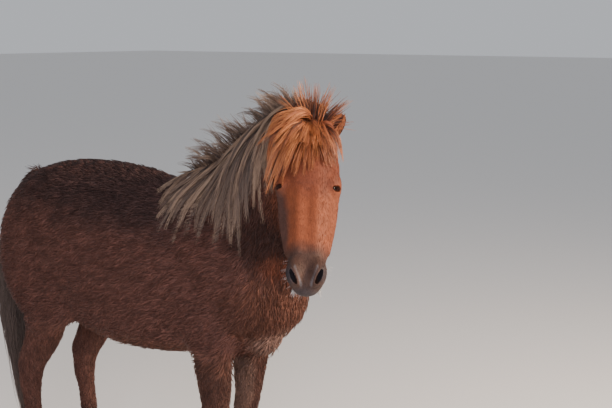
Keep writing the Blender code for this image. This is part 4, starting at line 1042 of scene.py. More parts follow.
def settle(piece, slot_name, nodes=()):
    """Links a finished piece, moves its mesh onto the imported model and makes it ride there."""
    piece.data.transform(Matrix.Translation(SHIFT))
    if piece.name not in bpy.context.scene.collection.objects:
        bpy.context.scene.collection.objects.link(piece)
    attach(piece, "root")
    if nodes:
        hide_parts(*nodes)
    return piece


without_ears = [corner for corner in corners if max(corner) < len(points)]
hide_tree = BVHTree.FromPolygons([tuple(p) for p in spots[: len(points)]], without_ears)
hide_mesh.materials.append(short_coat)
hide_mesh.update()
hide = bpy.data.objects.new("hide", hide_mesh)
source_mesh = hide_mesh.copy()
settle(hide, "torso", ["torso", "neck", "head", "ear_left", "ear_right", "foreleg_left", "foreleg_right",
                       "hindleg_left", "hindleg_right"])


# The eyes. Wet dark globes set deep between the lids; a horse's pupil is a level slit.
wet_eye, tree, shader = new_material("wet_dark_eye")
look = add(tree, "ShaderNodeAttribute", attribute_name="look").outputs["Vector"]
slit = add(tree, "ShaderNodeVectorMath", {0: look, 1: (1 / 0.0095, 1 / 0.0048, 0)}, operation="MULTIPLY")
slit = add(tree, "ShaderNodeVectorMath", {0: slit.outputs[0]}, operation="LENGTH")
pupil = add(tree, "ShaderNodeMapRange", {"Value": slit.outputs["Value"], "From Min": 0.9, "From Max": 1.1})
ring = add(tree, "ShaderNodeVectorMath", {0: look, 1: (1, 1, 0)}, operation="MULTIPLY")
ring = add(tree, "ShaderNodeVectorMath", {0: ring.outputs[0]}, operation="LENGTH")
white = add(tree, "ShaderNodeMapRange", {"Value": ring.outputs["Value"], "From Min": 0.0145, "From Max": 0.0165})
fibre = add(tree, "ShaderNodeTexNoise", {"Vector": look, "Scale": 600.0, "Detail": 2.0})
iris = add(tree, "ShaderNodeMix", {0: fibre.outputs["Fac"], 6: linear("#1d0f0a"), 7: linear("#3a2013")},
           data_type="RGBA")
inner = add(tree, "ShaderNodeMix", {0: pupil.outputs["Result"], 6: linear("#060505"), 7: iris.outputs[2]},
            data_type="RGBA")
outer = add(tree, "ShaderNodeMix", {0: white.outputs["Result"], 6: inner.outputs[2], 7: linear("#2a1a15")},
            data_type="RGBA")
tree.links.new(outer.outputs[2], shader.inputs["Base Color"])
shader.inputs["Roughness"].default_value = 0.10
shader.inputs["IOR"].default_value = 1.38
shader.inputs["Coat Weight"].default_value = 0.2
shader.inputs["Coat Roughness"].default_value = 0.03
GLOBE_RADIUS = 0.0212
for word, side in (("left", 1), ("right", -1)):
    shape = bmesh.new()
    bmesh.ops.create_uvsphere(shape, u_segments=40, v_segments=28, radius=GLOBE_RADIUS)
    globe = bpy.data.meshes.new("eye_" + word)
    looks = []
    for vert in shape.verts:
        out = max(vert.co.z, 0) / GLOBE_RADIUS
        vert.co *= 1 + 0.05 * out**6
        looks.append(tuple(vert.co))
    shape.to_mesh(globe)
    shape.free()
    give(globe, "look", looks)
    globe.shade_smooth()
    globe.materials.append(wet_eye)
    globe.transform(eye_place(side))
    settle(bpy.data.objects.new("globe_" + word, globe), "eye_" + word, ["eye_" + word])


# The hooves. Dull dark horn that grows down from the coronet in faint rings, unshod and flat below.
HOOF_WALL = (                  # share of height, forward radius, side radius, shift back
    (0.0, 0.0640, 0.0590, 0.000),
    (0.06, 0.0640, 0.0590, 0.001),
    (0.30, 0.0600, 0.0560, 0.005),
    (0.55, 0.0545, 0.0525, 0.010),
    (0.75, 0.0500, 0.0495, 0.0145),
    (0.92, 0.0465, 0.0470, 0.0185),
    (1.0, 0.0425, 0.0435, 0.0200),
)
horn, tree, shader = new_material("dark_hoof_horn")
place = add(tree, "ShaderNodeAttribute", attribute_name="own").outputs["Vector"]
rise = add(tree, "ShaderNodeSeparateXYZ", {0: place}).outputs["Z"]
wander = add(tree, "ShaderNodeTexNoise", {"Vector": place, "Scale": 30.0, "Detail": 2.0})
ringed = add(tree, "ShaderNodeMath", {0: wander.outputs["Fac"], 1: 0.006, 2: rise}, operation="MULTIPLY_ADD")
ringed = add(tree, "ShaderNodeMath", {0: ringed.outputs[0], 1: 2 * math.pi / 0.006}, operation="MULTIPLY")
ringed = add(tree, "ShaderNodeMath", {0: ringed.outputs[0]}, operation="SINE")
grain = add(tree, "ShaderNodeMapping", {"Vector": place, "Scale": (400, 400, 25)})
grain = add(tree, "ShaderNodeTexNoise", {"Vector": grain.outputs[0], "Scale": 1.0, "Detail": 3.0})
tint = add(tree, "ShaderNodeMix", {0: grain.outputs["Fac"], 6: linear("#241c19"), 7: linear("#4d4039")},
           data_type="RGBA")
tree.links.new(tint.outputs[2], shader.inputs["Base Color"])
shader.inputs["Roughness"].default_value = 0.5
height = add(tree, "ShaderNodeMath", {0: ringed.outputs[0], 1: 0.35, 2: grain.outputs["Fac"]},
             operation="MULTIPLY_ADD")
bump = add(tree, "ShaderNodeBump", {"Height": height.outputs[0], "Strength": 0.5, "Distance": 0.0008})
tree.links.new(bump.outputs[0], shader.inputs["Normal"])
for where, side, x, y in soles():
    rings = []
    for share, fore, wide, back in smooth_rows(HOOF_WALL, 2):
        ring = []
        for i in range(40):
            angle = 2 * math.pi * i / 40
            ahead = max(fore * math.cos(angle), -0.80 * fore)
            at_height = share * (HOOF_HEIGHT + math.tan(HOOF_SLOPE) * ahead)
            ring.append(Vector((x - back + ahead, y + wide * math.sin(angle), at_height)))
        rings.append(ring)
    points, faces = loft(rings)
    hoof = bpy.data.meshes.new("hoof")
    hoof.from_pydata([tuple(p) for p in points], [], faces)
    give(hoof, "own", [(p.x - x, p.y - y, p.z) for p in points])
    for poly in hoof.polygons:
        poly.use_smooth = len(poly.vertices) == 4
    hoof.materials.append(horn)
    word = "left" if side > 0 else "right"
    node = f"hoof_{where}_{word}"
    settle(bpy.data.objects.new("horn_" + where + "_" + word, hoof), node, [node])


# The short coat. Tufts of winter hair rooted in the hide, each a thin bent spike that lies along the body: 4 to 5 cm
# long on the trunk, about 1 cm on the face. They are scattered over the hide by Geometry Nodes.
tuft = bpy.data.meshes.new("tuft")
shape = bmesh.new()
rows = []
for along, half, rise, thick in ((-0.06, 0.50, -0.06, 0.07), (0.45, 0.42, 0.13, 0.07)):
    rows.append([shape.verts.new(p) for p in ((along, -half, rise), (along, half, rise), (along, 0, rise + thick))])
tip_vert = shape.verts.new((1.0, 0, 0.10))
for k in range(3):
    shape.faces.new((rows[0][k], rows[0][(k + 1) % 3], rows[1][(k + 1) % 3], rows[1][k]))
    shape.faces.new((rows[1][k], rows[1][(k + 1) % 3], tip_vert))
shape.faces.new(rows[0][::-1])
bmesh.ops.triangulate(shape, faces=shape.faces)
bmesh.ops.recalc_face_normals(shape, faces=shape.faces)
shape.to_mesh(tuft)
shape.free()
give(tuft, "tip", [max(v.co.x, 0) for v in tuft.vertices], "FLOAT")
give(tuft, "side", [v.co.y + 0.5 for v in tuft.vertices], "FLOAT")
tuft.shade_smooth()
tuft_object = bpy.data.objects.new("tuft", tuft)
bpy.context.scene.collection.objects.link(tuft_object)


def read(tree, name, kind="FLOAT"):
    """A named attribute inside a Geometry Nodes tree."""
    return add(tree, "GeometryNodeInputNamedAttribute", {"Name": name}, data_type=kind).outputs[0]


def store_bake_place(tree, geometry):
    """Gives each tuft or hair its own patch, 0.003 across, where its root lies on the flat hide."""
    patch = add(tree, "ShaderNodeCombineXYZ", {0: read(tree, "side"), 1: read(tree, "tip")})
    patch = add(tree, "ShaderNodeVectorMath", {0: patch.outputs[0], "Scale": 0.003}, operation="SCALE")
    whole = add(tree, "ShaderNodeVectorMath", {0: patch.outputs[0], 1: read(tree, "flat", "FLOAT_VECTOR")},
                operation="ADD")
    return add(tree, "GeometryNodeStoreNamedAttribute", {"Geometry": geometry, "Name": "OFBake",
                                                        "Value": whole.outputs[0]},
               data_type="FLOAT2", domain="CORNER").outputs[0]


def tree_with_inputs(name, inputs):
    tree = bpy.data.node_groups.new(name, "GeometryNodeTree")
    tree.interface.new_socket("Geometry", in_out="INPUT", socket_type="NodeSocketGeometry")
    for label, kind in inputs:
        tree.interface.new_socket(label, in_out="INPUT", socket_type=kind)
    tree.interface.new_socket("Geometry", in_out="OUTPUT", socket_type="NodeSocketGeometry")
    return tree, add(tree, "NodeGroupInput").outputs, add(tree, "NodeGroupOutput")


def grown(name, base, tree, values, material):
    """The tree's result on a base mesh as a plain mesh object."""
    obj = bpy.data.objects.new(name, base)
    bpy.context.scene.collection.objects.link(obj)
    modifier = obj.modifiers.new("grow", "NODES")
    modifier.node_group = tree
    sockets = {item.name: item.identifier for item in tree.interface.items_tree if item.in_out == "INPUT"}
    for label, value in values.items():
        modifier[sockets[label]] = value
    evaluated = obj.evaluated_get(bpy.context.evaluated_depsgraph_get())
    made = bpy.data.meshes.new_from_object(evaluated, preserve_all_data_layers=True,
                                           depsgraph=bpy.context.evaluated_depsgraph_get())
    obj.modifiers.clear()
    obj.data = made
    made.name = name
    for spare in ("normal", "lie", "long", "flat", "share", "side", "thick", "id"):
        if spare in made.attributes:
            made.attributes.remove(made.attributes[spare])
    if not made.materials:
        made.materials.append(material)
    return obj


coat_tree, given, end = tree_with_inputs("coat of tufts", (
    ("Tuft", "NodeSocketObject"), ("Cover", "NodeSocketFloat"), ("Width", "NodeSocketFloat"),
    ("Finest", "NodeSocketFloat"), ("Lift", "NodeSocketFloat"),
    ("Seed", "NodeSocketInt"), ("Material", "NodeSocketMaterial")))
t = coat_tree
length_here = read(t, "long")
wide_here = add(t, "ShaderNodeMath", {0: length_here, 1: given["Width"]}, operation="MULTIPLY").outputs[0]
wide_here = add(t, "ShaderNodeMath", {0: wide_here, 1: given["Finest"]}, operation="MAXIMUM").outputs[0]
patch_area = add(t, "ShaderNodeMath", {0: length_here, 1: wide_here}, operation="MULTIPLY").outputs[0]
dense = add(t, "ShaderNodeMath", {0: given["Cover"], 1: patch_area}, operation="DIVIDE").outputs[0]
dense = add(t, "ShaderNodeMath", {0: dense, 1: read(t, "share")}, operation="MULTIPLY").outputs[0]
roots = add(t, "GeometryNodeDistributePointsOnFaces", {"Mesh": given["Geometry"], "Density": dense,
                                                      "Seed": given["Seed"]})
turned = add(t, "FunctionNodeAxesToRotation", {0: roots.outputs["Normal"], 1: read(t, "lie", "FLOAT_VECTOR")},
             primary_axis="Z", secondary_axis="X")
bend = add(t, "FunctionNodeRandomValue", {0: (-0.25, -0.16, -0.38), 1: (0.25, 0.10, 0.38), "Seed": 3},
           data_type="FLOAT_VECTOR")
flow = add(t, "ShaderNodeTexNoise", {"Vector": read(t, "root", "FLOAT_VECTOR"), "Scale": 24.0, "Detail": 1.0})
flow = add(t, "ShaderNodeMath", {0: flow.outputs["Fac"], 1: 1.5, 2: -0.75}, operation="MULTIPLY_ADD")
flow = add(t, "ShaderNodeCombineXYZ", {2: flow.outputs[0]})
bend = add(t, "ShaderNodeVectorMath", {0: bend.outputs[0], 1: flow.outputs[0]}, operation="ADD")
bend = add(t, "FunctionNodeEulerToRotation", {0: bend.outputs[0]})
turned = add(t, "FunctionNodeRotateRotation", {0: turned.outputs[0], 1: bend.outputs[0]}, rotation_space="LOCAL")
size = add(t, "FunctionNodeRandomValue", {2: 0.70, 3: 1.25, "Seed": 5})
size_long = add(t, "ShaderNodeMath", {0: size.outputs[1], 1: length_here}, operation="MULTIPLY").outputs[0]
size_high = add(t, "ShaderNodeMath", {0: size_long, 1: given["Lift"]}, operation="MULTIPLY").outputs[0]
size = add(t, "ShaderNodeCombineXYZ", {0: size_long, 1: wide_here, 2: size_high})
tuft_shape = add(t, "GeometryNodeObjectInfo", {0: given["Tuft"]})
tufts = add(t, "GeometryNodeInstanceOnPoints", {"Points": roots.outputs["Points"],
                                               "Instance": tuft_shape.outputs["Geometry"],
                                               "Rotation": turned.outputs[0], "Scale": size.outputs[0]})
tone = add(t, "FunctionNodeRandomValue", {2: 0.0, 3: 1.0, "Seed": 9})
tufts = add(t, "GeometryNodeStoreNamedAttribute", {"Geometry": tufts.outputs[0], "Name": "tone",
                                                  "Value": tone.outputs[1]}, domain="INSTANCE")
tufts = add(t, "GeometryNodeRealizeInstances", {0: tufts.outputs[0]})
tufts = store_bake_place(t, tufts.outputs[0])
tufts = add(t, "GeometryNodeSetMaterial", {"Geometry": tufts, "Material": given["Material"]})
t.links.new(tufts.outputs[0], end.inputs[0])

# Loose dead-ended winter hair: matte, a little paler at the tips, each tuft its own shade.
winter_hair, tree, shader = new_material("winter_coat_hair")
shade = markings_and_painted_light(tree)
tone = add(tree, "ShaderNodeAttribute", attribute_name="tone").outputs["Fac"]
tip = add(tree, "ShaderNodeAttribute", attribute_name="tip").outputs["Fac"]
on_face = add(tree, "ShaderNodeAttribute", attribute_name="on_head").outputs["Fac"]
bright = add(tree, "ShaderNodeMapRange", {"Value": tone, "To Min": 0.66, "To Max": 1.30})
at_tip = add(tree, "ShaderNodeMapRange", {"Value": tip, "To Min": 0.82, "To Max": 1.22})
bright = add(tree, "ShaderNodeMath", {0: bright.outputs[0], 1: at_tip.outputs[0]}, operation="MULTIPLY")
locks = add(tree, "ShaderNodeAttribute", attribute_name="root").outputs["Vector"]
locks = add(tree, "ShaderNodeTexNoise", {"Vector": locks, "Scale": 32.0, "Detail": 2.0})
locks = add(tree, "ShaderNodeMapRange", {"Value": locks.outputs["Fac"], "From Min": 0.35, "From Max": 0.65,
                                        "To Min": 0.74, "To Max": 1.22})
bright = add(tree, "ShaderNodeMath", {0: bright.outputs[0], 1: locks.outputs[0]}, operation="MULTIPLY")
# On the head the tufts lose most of their random tone and are painted 1.2 times as bright: painted light against the
# shade the tufts cast on each other.
face_evened_and_brightened = add(tree, "ShaderNodeMath", {0: on_face, 1: 0.85}, operation="MULTIPLY")
bright = add(tree, "ShaderNodeMix", {0: face_evened_and_brightened.outputs[0], 2: bright.outputs[0], 3: 1.2})
tinted = add(tree, "ShaderNodeVectorMath", {0: shade, "Scale": bright.outputs[0]}, operation="SCALE")
tree.links.new(tinted.outputs[0], shader.inputs["Base Color"])
shader.inputs["Roughness"].default_value = 0.6
shader.inputs["Specular IOR Level"].default_value = 0.3

seam = np.array(head_seam().inverted())
along = (spots @ seam[:3, :3].T + seam[:3, 3])[:, 0]
is_head = (along > 0) & (spots[:, 0] > 0.3) | (on_head > 1.5)
is_leg = (spots[:, 2] < 0.80) & ((spots[:, 2] < 0.62) | (np.abs(spots[:, 1]) > 0.075)) & ~is_head
is_tail = spots[:, 0] < -1.13
left = spots[:, 1] > 0
eyes = np.zeros(len(spots))
for side in (1, -1):
    eyes = np.maximum(eyes, near(face_spots, sides((0.208, 0.095, -0.030), side), (0.036, 0.034, 0.030)))
    eyes = np.maximum(eyes, near(face_spots, sides(NOSTRIL_AT, side), (0.044, 0.034, 0.034)))
eyes = np.maximum(eyes, near(face_spots, (0.565, 0, -0.09), (0.05, 0.06, 0.045)))
bare = np.where(is_head, eyes, 0)
fore = spots[:, 0] > -0.35
trunk = ~is_head & ~is_leg & ~is_tail
COATS = (                      # name, where it grows, cover, width to length, finest, lift, slot
    ("coat_left_fore", trunk & left & fore, 2.8, 0.070, 0.0026, 0.75, "torso"),
    ("coat_right_fore", trunk & ~left & fore, 2.8, 0.070, 0.0026, 0.75, "torso"),
    ("coat_left_hind", trunk & left & ~fore, 2.8, 0.070, 0.0026, 0.75, "torso"),
    ("coat_right_hind", trunk & ~left & ~fore, 2.8, 0.070, 0.0026, 0.75, "torso"),
    ("coat_forelegs", is_leg & fore, 1.65, 0.09, 0.0024, 0.7, "foreleg_left"),
    ("coat_hindlegs", is_leg & ~fore, 1.65, 0.09, 0.0024, 0.7, "hindleg_left"),
    ("coat_head", is_head, 0.36, 0.10, 0.0011, 0.26, "head"),
)
for number, (name, where, cover, wide, finest, lift, slot_name) in enumerate(COATS):
    base = source_mesh.copy()
    give(base, "share", where * (1 - bare), "FLOAT")
    piece = grown(name, base, coat_tree, {"Tuft": tuft_object, "Cover": cover, "Width": wide, "Finest": finest,
                                          "Lift": lift, "Seed": 20 + number, "Material": winter_hair}, winter_hair)
    settle(piece, slot_name)
bpy.data.objects.remove(tuft_object)


# The mane. Coarse hair up to half a metre long, rooted along the crest, falling on the horse's right in locks that
# taper to points. Each lock is a path that drapes over the hide, and its hairs are tubes that follow the path.
draw = random.Random(7)
DOWN = Vector((0, 0, -1))
HAIR_STEPS = 7


def varied(share):
    """A factor near one."""
    return 1 + draw.uniform(-share, share)


def nearest(point):
    spot, normal, face, _ = hide_tree.find_nearest(point)
    return spot, normal, (point - spot).dot(normal)


def drape(root, start, length, lift, weight, sway=(0, 0, 0), steps=9, first=0.07):
    """A path that leaves the root along start, bends down by its weight and lies over the hide at a lift."""
    way = Vector(start).normalized()
    spot, normal, _ = nearest(Vector(root))
    path = [spot - normal * 0.006]
    facing = [normal]
    at = spot
    for i in range(steps):
        step = length * first if i == 0 else length * (1 - first) / (steps - 1)
        last = at
        at = last + way * step
        for _ in range(2):
            spot, normal, out = nearest(at)
            if out < lift:
                at = spot + normal * lift
            elif lift * 2 < out < 0.08:
                at = at - normal * (out - lift * 2) * weight * 0.6
            at = last + (at - last).normalized() * step
        way = (at - last).normalized()
        way = (way * (1 - weight) + DOWN * weight + Vector(sway)).normalized()
        path.append(at)
        facing.append((facing[-1] + normal).normalized() if out < 4 * lift else facing[-1])
    return path, facing


class Hairs:
    """Hairs gathered lock by lock as polylines, then grown into tubes by Geometry Nodes."""

    def __init__(self, seed, steps=HAIR_STEPS):
        self.random = np.random.default_rng(seed)
        self.steps = steps
        self.rows = []

    def lock(self, path, facing, count, wide, thick, hair=0.0012, close=0.35, ragged=0.25, wave=0.006, loose=0.10,
             shade=0.0, mixed=0.34):
        """One lock: hairs spread over its root, drawn together towards its tip, of uneven length."""
        rng = self.random
        knots = smooth_rows([tuple(p) for p in path], 4)
        outs = smooth_rows([tuple(f) for f in facing], 4)
        reach = np.concatenate([[0], np.cumsum(lengths(np.diff(knots, axis=0)))])
        reach = reach / reach[-1]
        share = 1 - ragged * rng.random(count) ** 1.5
        t = np.linspace(0, 1, self.steps + 1)[None, :] * share[:, None]
        spot = np.stack([np.interp(t, reach, knots[:, k]) for k in range(3)], axis=-1)
        out = unit(np.stack([np.interp(t, reach, outs[:, k]) for k in range(3)], axis=-1).reshape(-1, 3))
        out = out.reshape(spot.shape)
        way = unit(np.gradient(knots, axis=0))
        way = np.stack([np.interp(t, reach, way[:, k]) for k in range(3)], axis=-1)
        out = out - way * (out * way).sum(axis=-1, keepdims=True)
        out = unit(out.reshape(-1, 3)).reshape(spot.shape)
        side = np.cross(way, out)
        angle = rng.random(count) * 2 * math.pi
        ring = np.sqrt(rng.random(count))
        fade = 1 - (1 - close) * t**1.3
        stray = 1 + (rng.random(count) < loose)[:, None] * t * 2.2
        phase = rng.random(count) * 2 * math.pi
        swing = wave * np.sin(t * rng.uniform(3, 9, count)[:, None] + phase[:, None]) * np.minimum(t * 3, 1)
        across = (ring * np.cos(angle))[:, None] * wide / 2 * fade * stray + swing
        above = (ring * np.sin(angle))[:, None] * thick / 2 * fade * stray + 0.4 * swing[:, ::-1]
        spot = spot + side * across[..., None] + out * above[..., None]
        taper = hair * (0.55 + 0.45 * np.minimum(t * 8, 1)) * (1 - 0.80 * (t / share[:, None]) ** 3)
        tone = np.clip(rng.normal(0.5, mixed) + shade + rng.normal(0, 0.30, count), 0, 1)
        self.rows.append((spot, taper, np.repeat(tone[:, None], t.shape[1], 1), t / share[:, None],
                          np.tile(np.array(path[0]), (count, 1))))

    def mesh(self, name):
        spot, thick, tone, t = (np.concatenate([row[k] for row in self.rows]) for k in range(4))
        roots = np.concatenate([row[4] for row in self.rows])
        count, steps = t.shape
        made = bpy.data.meshes.new(name)
        number = np.arange(count * steps).reshape(count, steps)
        edges = np.stack([number[:, :-1].ravel(), number[:, 1:].ravel()], axis=1)
        made.from_pydata(spot.reshape(-1, 3).tolist(), edges.tolist(), [])
        flats = []
        for root in roots:
            _, _, face, _ = hide_tree.find_nearest(Vector(root))
            first = hide_mesh.polygons[face].loop_start
            flats.append(tuple(hide_mesh.attributes["flat"].data[first].vector) + (0,))
        give(made, "flat", np.repeat(np.array(flats)[:, None, :], steps, 1))
        give(made, "thick", thick, "FLOAT")
        give(made, "tone", tone, "FLOAT")
        give(made, "tip", t, "FLOAT")
        give(made, "root", np.repeat(roots[:, None, :], steps, 1))
        return made


hair_tree, given, end = tree_with_inputs("tubes along hairs", (
    ("Sides", "NodeSocketInt"), ("Material", "NodeSocketMaterial")))
t = hair_tree
lines = add(t, "GeometryNodeMeshToCurve", {0: given["Geometry"]})
circle = add(t, "GeometryNodeCurvePrimitiveCircle", {"Resolution": given["Sides"], "Radius": 1.0})
spin = add(t, "GeometryNodeInputIndex")
spin = add(t, "ShaderNodeMath", {0: spin.outputs[0], 1: given["Sides"]}, operation="DIVIDE")
circle = add(t, "GeometryNodeStoreNamedAttribute", {"Geometry": circle.outputs[0], "Name": "side",
                                                   "Value": spin.outputs[0]}, domain="POINT")
tubes = add(t, "GeometryNodeCurveToMesh", {"Curve": lines.outputs[0], "Profile Curve": circle.outputs[0],
                                          "Scale": read(t, "thick"), "Fill Caps": True})
tubes = add(t, "GeometryNodeRealizeInstances", {0: tubes.outputs[0]})
tubes = store_bake_place(t, tubes.outputs[0])
tubes = add(t, "GeometryNodeSetMaterial", {"Geometry": tubes, "Material": given["Material"]})
t.links.new(tubes.outputs[0], end.inputs[0])


def long_hair(name, colours, rough, silver):
    """Coarse long hair: dark at the root, sun-bleached at the tip, with a satin shine along it."""
    material, tree, shader = new_material(name)
    tone = add(tree, "ShaderNodeAttribute", attribute_name="tone").outputs["Fac"]
    tip = add(tree, "ShaderNodeAttribute", attribute_name="tip").outputs["Fac"]
    place = add(tree, "ShaderNodeAttribute", attribute_name="root").outputs["Vector"]
    patchy = add(tree, "ShaderNodeTexNoise", {"Vector": place, "Scale": 9.0, "Detail": 2.0})
    mixed = add(tree, "ShaderNodeMath", {0: patchy.outputs["Fac"], 1: 0.7, 2: -0.35}, operation="MULTIPLY_ADD")
    mixed = add(tree, "ShaderNodeMath", {0: mixed.outputs[0], 1: tone}, operation="ADD")
    paler = add(tree, "ShaderNodeMath", {0: tip, 1: 0.65, 2: -0.33}, operation="MULTIPLY_ADD")
    mixed = add(tree, "ShaderNodeMath", {0: mixed.outputs[0], 1: paler.outputs[0]}, operation="ADD")
    ramp = add(tree, "ShaderNodeValToRGB", {0: mixed.outputs[0]})
    ramp.color_ramp.elements[0].color = linear(colours[0])
    ramp.color_ramp.elements[1].color = linear(colours[2])
    ramp.color_ramp.elements.new(0.5).color = linear(colours[1])
    bleach = add(tree, "ShaderNodeMapRange", {"Value": tip, "From Min": 0.35, "From Max": 1.0,
                                             "To Min": 0.0, "To Max": silver})
    mix = add(tree, "ShaderNodeMix", {0: bleach.outputs[0], 6: ramp.outputs[0], 7: linear(colours[3])},
              data_type="RGBA")
    tree.links.new(mix.outputs[2], shader.inputs["Base Color"])
    shader.inputs["Roughness"].default_value = rough
    shader.inputs["Specular IOR Level"].default_value = 0.45
    return material


mane_hair = long_hair("mane_hair", ("#1c110e", "#543c31", "#957860", "#9c8471"), 0.46, 0.35)


def crest(share):
    """A point over the neck's top line, 0 at the withers and 1 at the poll, and the way along it."""
    line = []
    for (crest_x, crest_z, throat_x, _, _), (x, y, _, _, _, _) in zip(NECK, neck_rows()):
        lean = (crest_x - throat_x) / 2
        turn = NECK_TURN * min(max(crest_x / 0.25, 0.0), 0.85)
        line.append((x + lean * math.cos(turn), y + lean * math.sin(turn), crest_z))
    line = smooth_rows(line, 8)
    spot = share * (len(line) - 1)
    low = min(int(spot), len(line) - 2)
    at = line[low] + (line[low + 1] - line[low]) * (spot - low)
    return Vector(at), Vector(line[low + 1] - line[low]).normalized()


def crest_places(count, low=0.03, high=0.99):
    for i in range(count):
        share = low + (high - low) * (i + 0.5 + draw.uniform(-0.4, 0.4)) / count
        at, along = crest(share)
        top = hide_tree.ray_cast(at + Vector((0, 0, 0.4)), DOWN)[0] or at
        yield share, top, along, along.cross(Vector((0, 0, 1))).normalized()


MANE_LENGTH = (0.22, 0.36, 0.45, 0.33, 0.21)        # from the withers to the poll
MANE_LAYERS = (                # locks, lift over the hide, root to the right, reach, how steeply they rise
    (34, 0.006, 0.018, 1.00, 0.15),
    (34, 0.018, 0.008, 0.97, 0.60),
    (30, 0.034, 0.000, 0.94, 1.70),
    (28, 0.050, -0.006, 0.86, 2.60),
    (24, 0.062, -0.010, 0.70, 3.40),
)
mane = [Hairs(31), Hairs(32), Hairs(33)]
# Each layer is painted lighter than the one under it: painted shade on the lower layers, which lie under the others.
for layer, (locks, lift, aside, reach, rise) in enumerate(MANE_LAYERS):
    for share, top, along, right in crest_places(locks):
        length = np.interp(share, np.linspace(0, 1, 5), MANE_LENGTH) * varied(0.16) * reach
        start = right * 0.9 + Vector((0, 0, rise)) - along * 0.15
        sway = along * draw.uniform(-0.12, 0.05) - right * 0.10
        path, facing = drape(top + right * aside, start, length, lift, 0.55, sway, 9, 0.07 + 0.03 * layer)
        mane[layer % 2].lock(path, facing, 37, (0.046 - 0.004 * layer) * varied(0.3), 0.014, hair=0.0012,
                             close=0.16, ragged=0.30, shade=0.08 * layer - 0.32)
for share, top, along, right in crest_places(150):
    start = Vector((0, 0, 1)) - along * draw.uniform(0.2, 1.1) * min(1.0, 2.5 * share)
    start += right * draw.uniform(-0.2, 0.7)
    length = 0.175 * varied(0.4) * min(1.0, 0.35 + 2.5 * share) * (1 - 0.50 * share)
    path, facing = drape(top, start, length, 0.012, 0.02, right * 0.03 - along * 0.03, 5, 0.3)
    mane[2].lock(path, [right] * len(facing), 11, 0.024, 0.018, ragged=0.45, loose=0.15, wave=0.002, hair=0.0012,
                 shade=-0.28)
for share, top, along, right in crest_places(36):
    start = Vector((0, 0, 0.6)) - right * 0.8 - along * draw.uniform(0.0, 0.4)
    path, facing = drape(top - right * 0.008, start, 0.13 * varied(0.4), 0.008, 0.30, steps=6)
    mane[2].lock(path, facing, 16, 0.026, 0.010, ragged=0.4, close=0.2, shade=-0.15)
first_draw, draw = draw, random.Random(8)
for share, top, along, right in crest_places(60, 0.04, 0.86):
    start = Vector((0, 0, 1)) - along * draw.uniform(0.2, 0.9) + right * draw.uniform(-0.1, 0.5)
    length = 0.19 * varied(0.3) * min(1.0, 0.5 + 2.0 * share) * (1 - 0.4 * share)
    path, facing = drape(top, start, length, 0.035, 0.14, right * 0.05, 7, 0.3)
    mane[2].lock(path, [right] * len(facing), 16, 0.034, 0.024, ragged=0.45, close=0.2, loose=0.15, wave=0.002,
                 shade=-0.2)
draw = first_draw
for number, part in enumerate(mane):
    piece = grown(f"mane_{number + 1}", part.mesh("mane"), hair_tree, {"Sides": 3, "Material": mane_hair}, mane_hair)
    settle(piece, "neck")


# The forelock. The mane's first hair, thrown forward from one hub on the poll: long locks towards the right eye and
# over the right ear, shorter ones down the brow, and loose upright tufts.
forelock_hair = long_hair("forelock_hair", ("#2e130b", "#874627", "#bd7644", "#a86840"), 0.5, 0.2)
HUB_AT = (-0.008, 0.012, 0.012)
FORELOCK_REACH = (             # angle (0 down the face, + to the left) and length
    (-118, 0.14), (-90, 0.17), (-65, 0.23), (-42, 0.26), (-22, 0.20), (0, 0.15), (25, 0.15), (50, 0.15), (90, 0.12),
)
hub = HEAD @ Vector(HUB_AT)
ahead, leftward, upward = (Vector(HEAD.col[i][:3]) for i in range(3))
forelock = Hairs(41)
# Each layer is painted lighter than the one under it: painted shade on the lower layers, which lie under the others.
for layer, count in enumerate((32, 28, 24)):
    for i in range(count):
        angle = -118 + 184 * (i + 0.5) / count + draw.uniform(-6, 6)
        turn = math.radians(angle)
        flat_way = ahead * math.cos(turn) + leftward * math.sin(turn)
        angles, reaches = zip(*FORELOCK_REACH)
        length = np.interp(angle, angles, reaches) * varied(0.14) * (1 - 0.12 * layer)
        root = hub + flat_way * (0.030 - 0.011 * layer)
        start = flat_way + upward * (0.30 + 0.32 * layer) * (2.6 if angle < -45 else 1.0)
        lift = (0.008 + 0.011 * layer) * (1.7 if angle < -45 else 1.0)
        path, facing = drape(root, start, length, lift, 0.16, flat_way * 0.12, 8, 0.14)
        forelock.lock(path, facing, 34, 0.026 * varied(0.3), 0.012, ragged=0.35, close=0.30, hair=0.0010,
                      wave=0.002, shade=0.12 * layer - (0.04 if angle < 5 else 0.34), mixed=0.18)
for i in range(22):
    lean = math.radians(-48 + 122 * (i + 0.5) / 22) + draw.uniform(-0.12, 0.12)
    start = Vector((0, 0, 1)) * math.cos(lean) + leftward * math.sin(lean) + upward * draw.uniform(-0.3, 0.3)
    root = hub - ahead * (0.012 + 0.022 * abs(math.sin(lean))) + leftward * 0.030 * math.sin(lean)
    root -= upward * 0.055 * max(0.0, math.sin(lean))
    tall = 0.138 * varied(0.30) * (1 - 0.40 * math.sin(lean) ** 2)
    path, facing = drape(root, start, tall, 0.010, 0.005, leftward * math.sin(lean) * 0.03, 5, 0.3)
    forelock.lock(path, [upward] * len(facing), 13, 0.026, 0.020, ragged=0.5, close=0.9, loose=0.3, wave=0.002,
                  hair=0.0012, shade=-0.2)
piece = grown("forelock", forelock.mesh("forelock"), hair_tree, {"Sides": 3, "Material": forelock_hair}, forelock_hair)
settle(piece, "head")


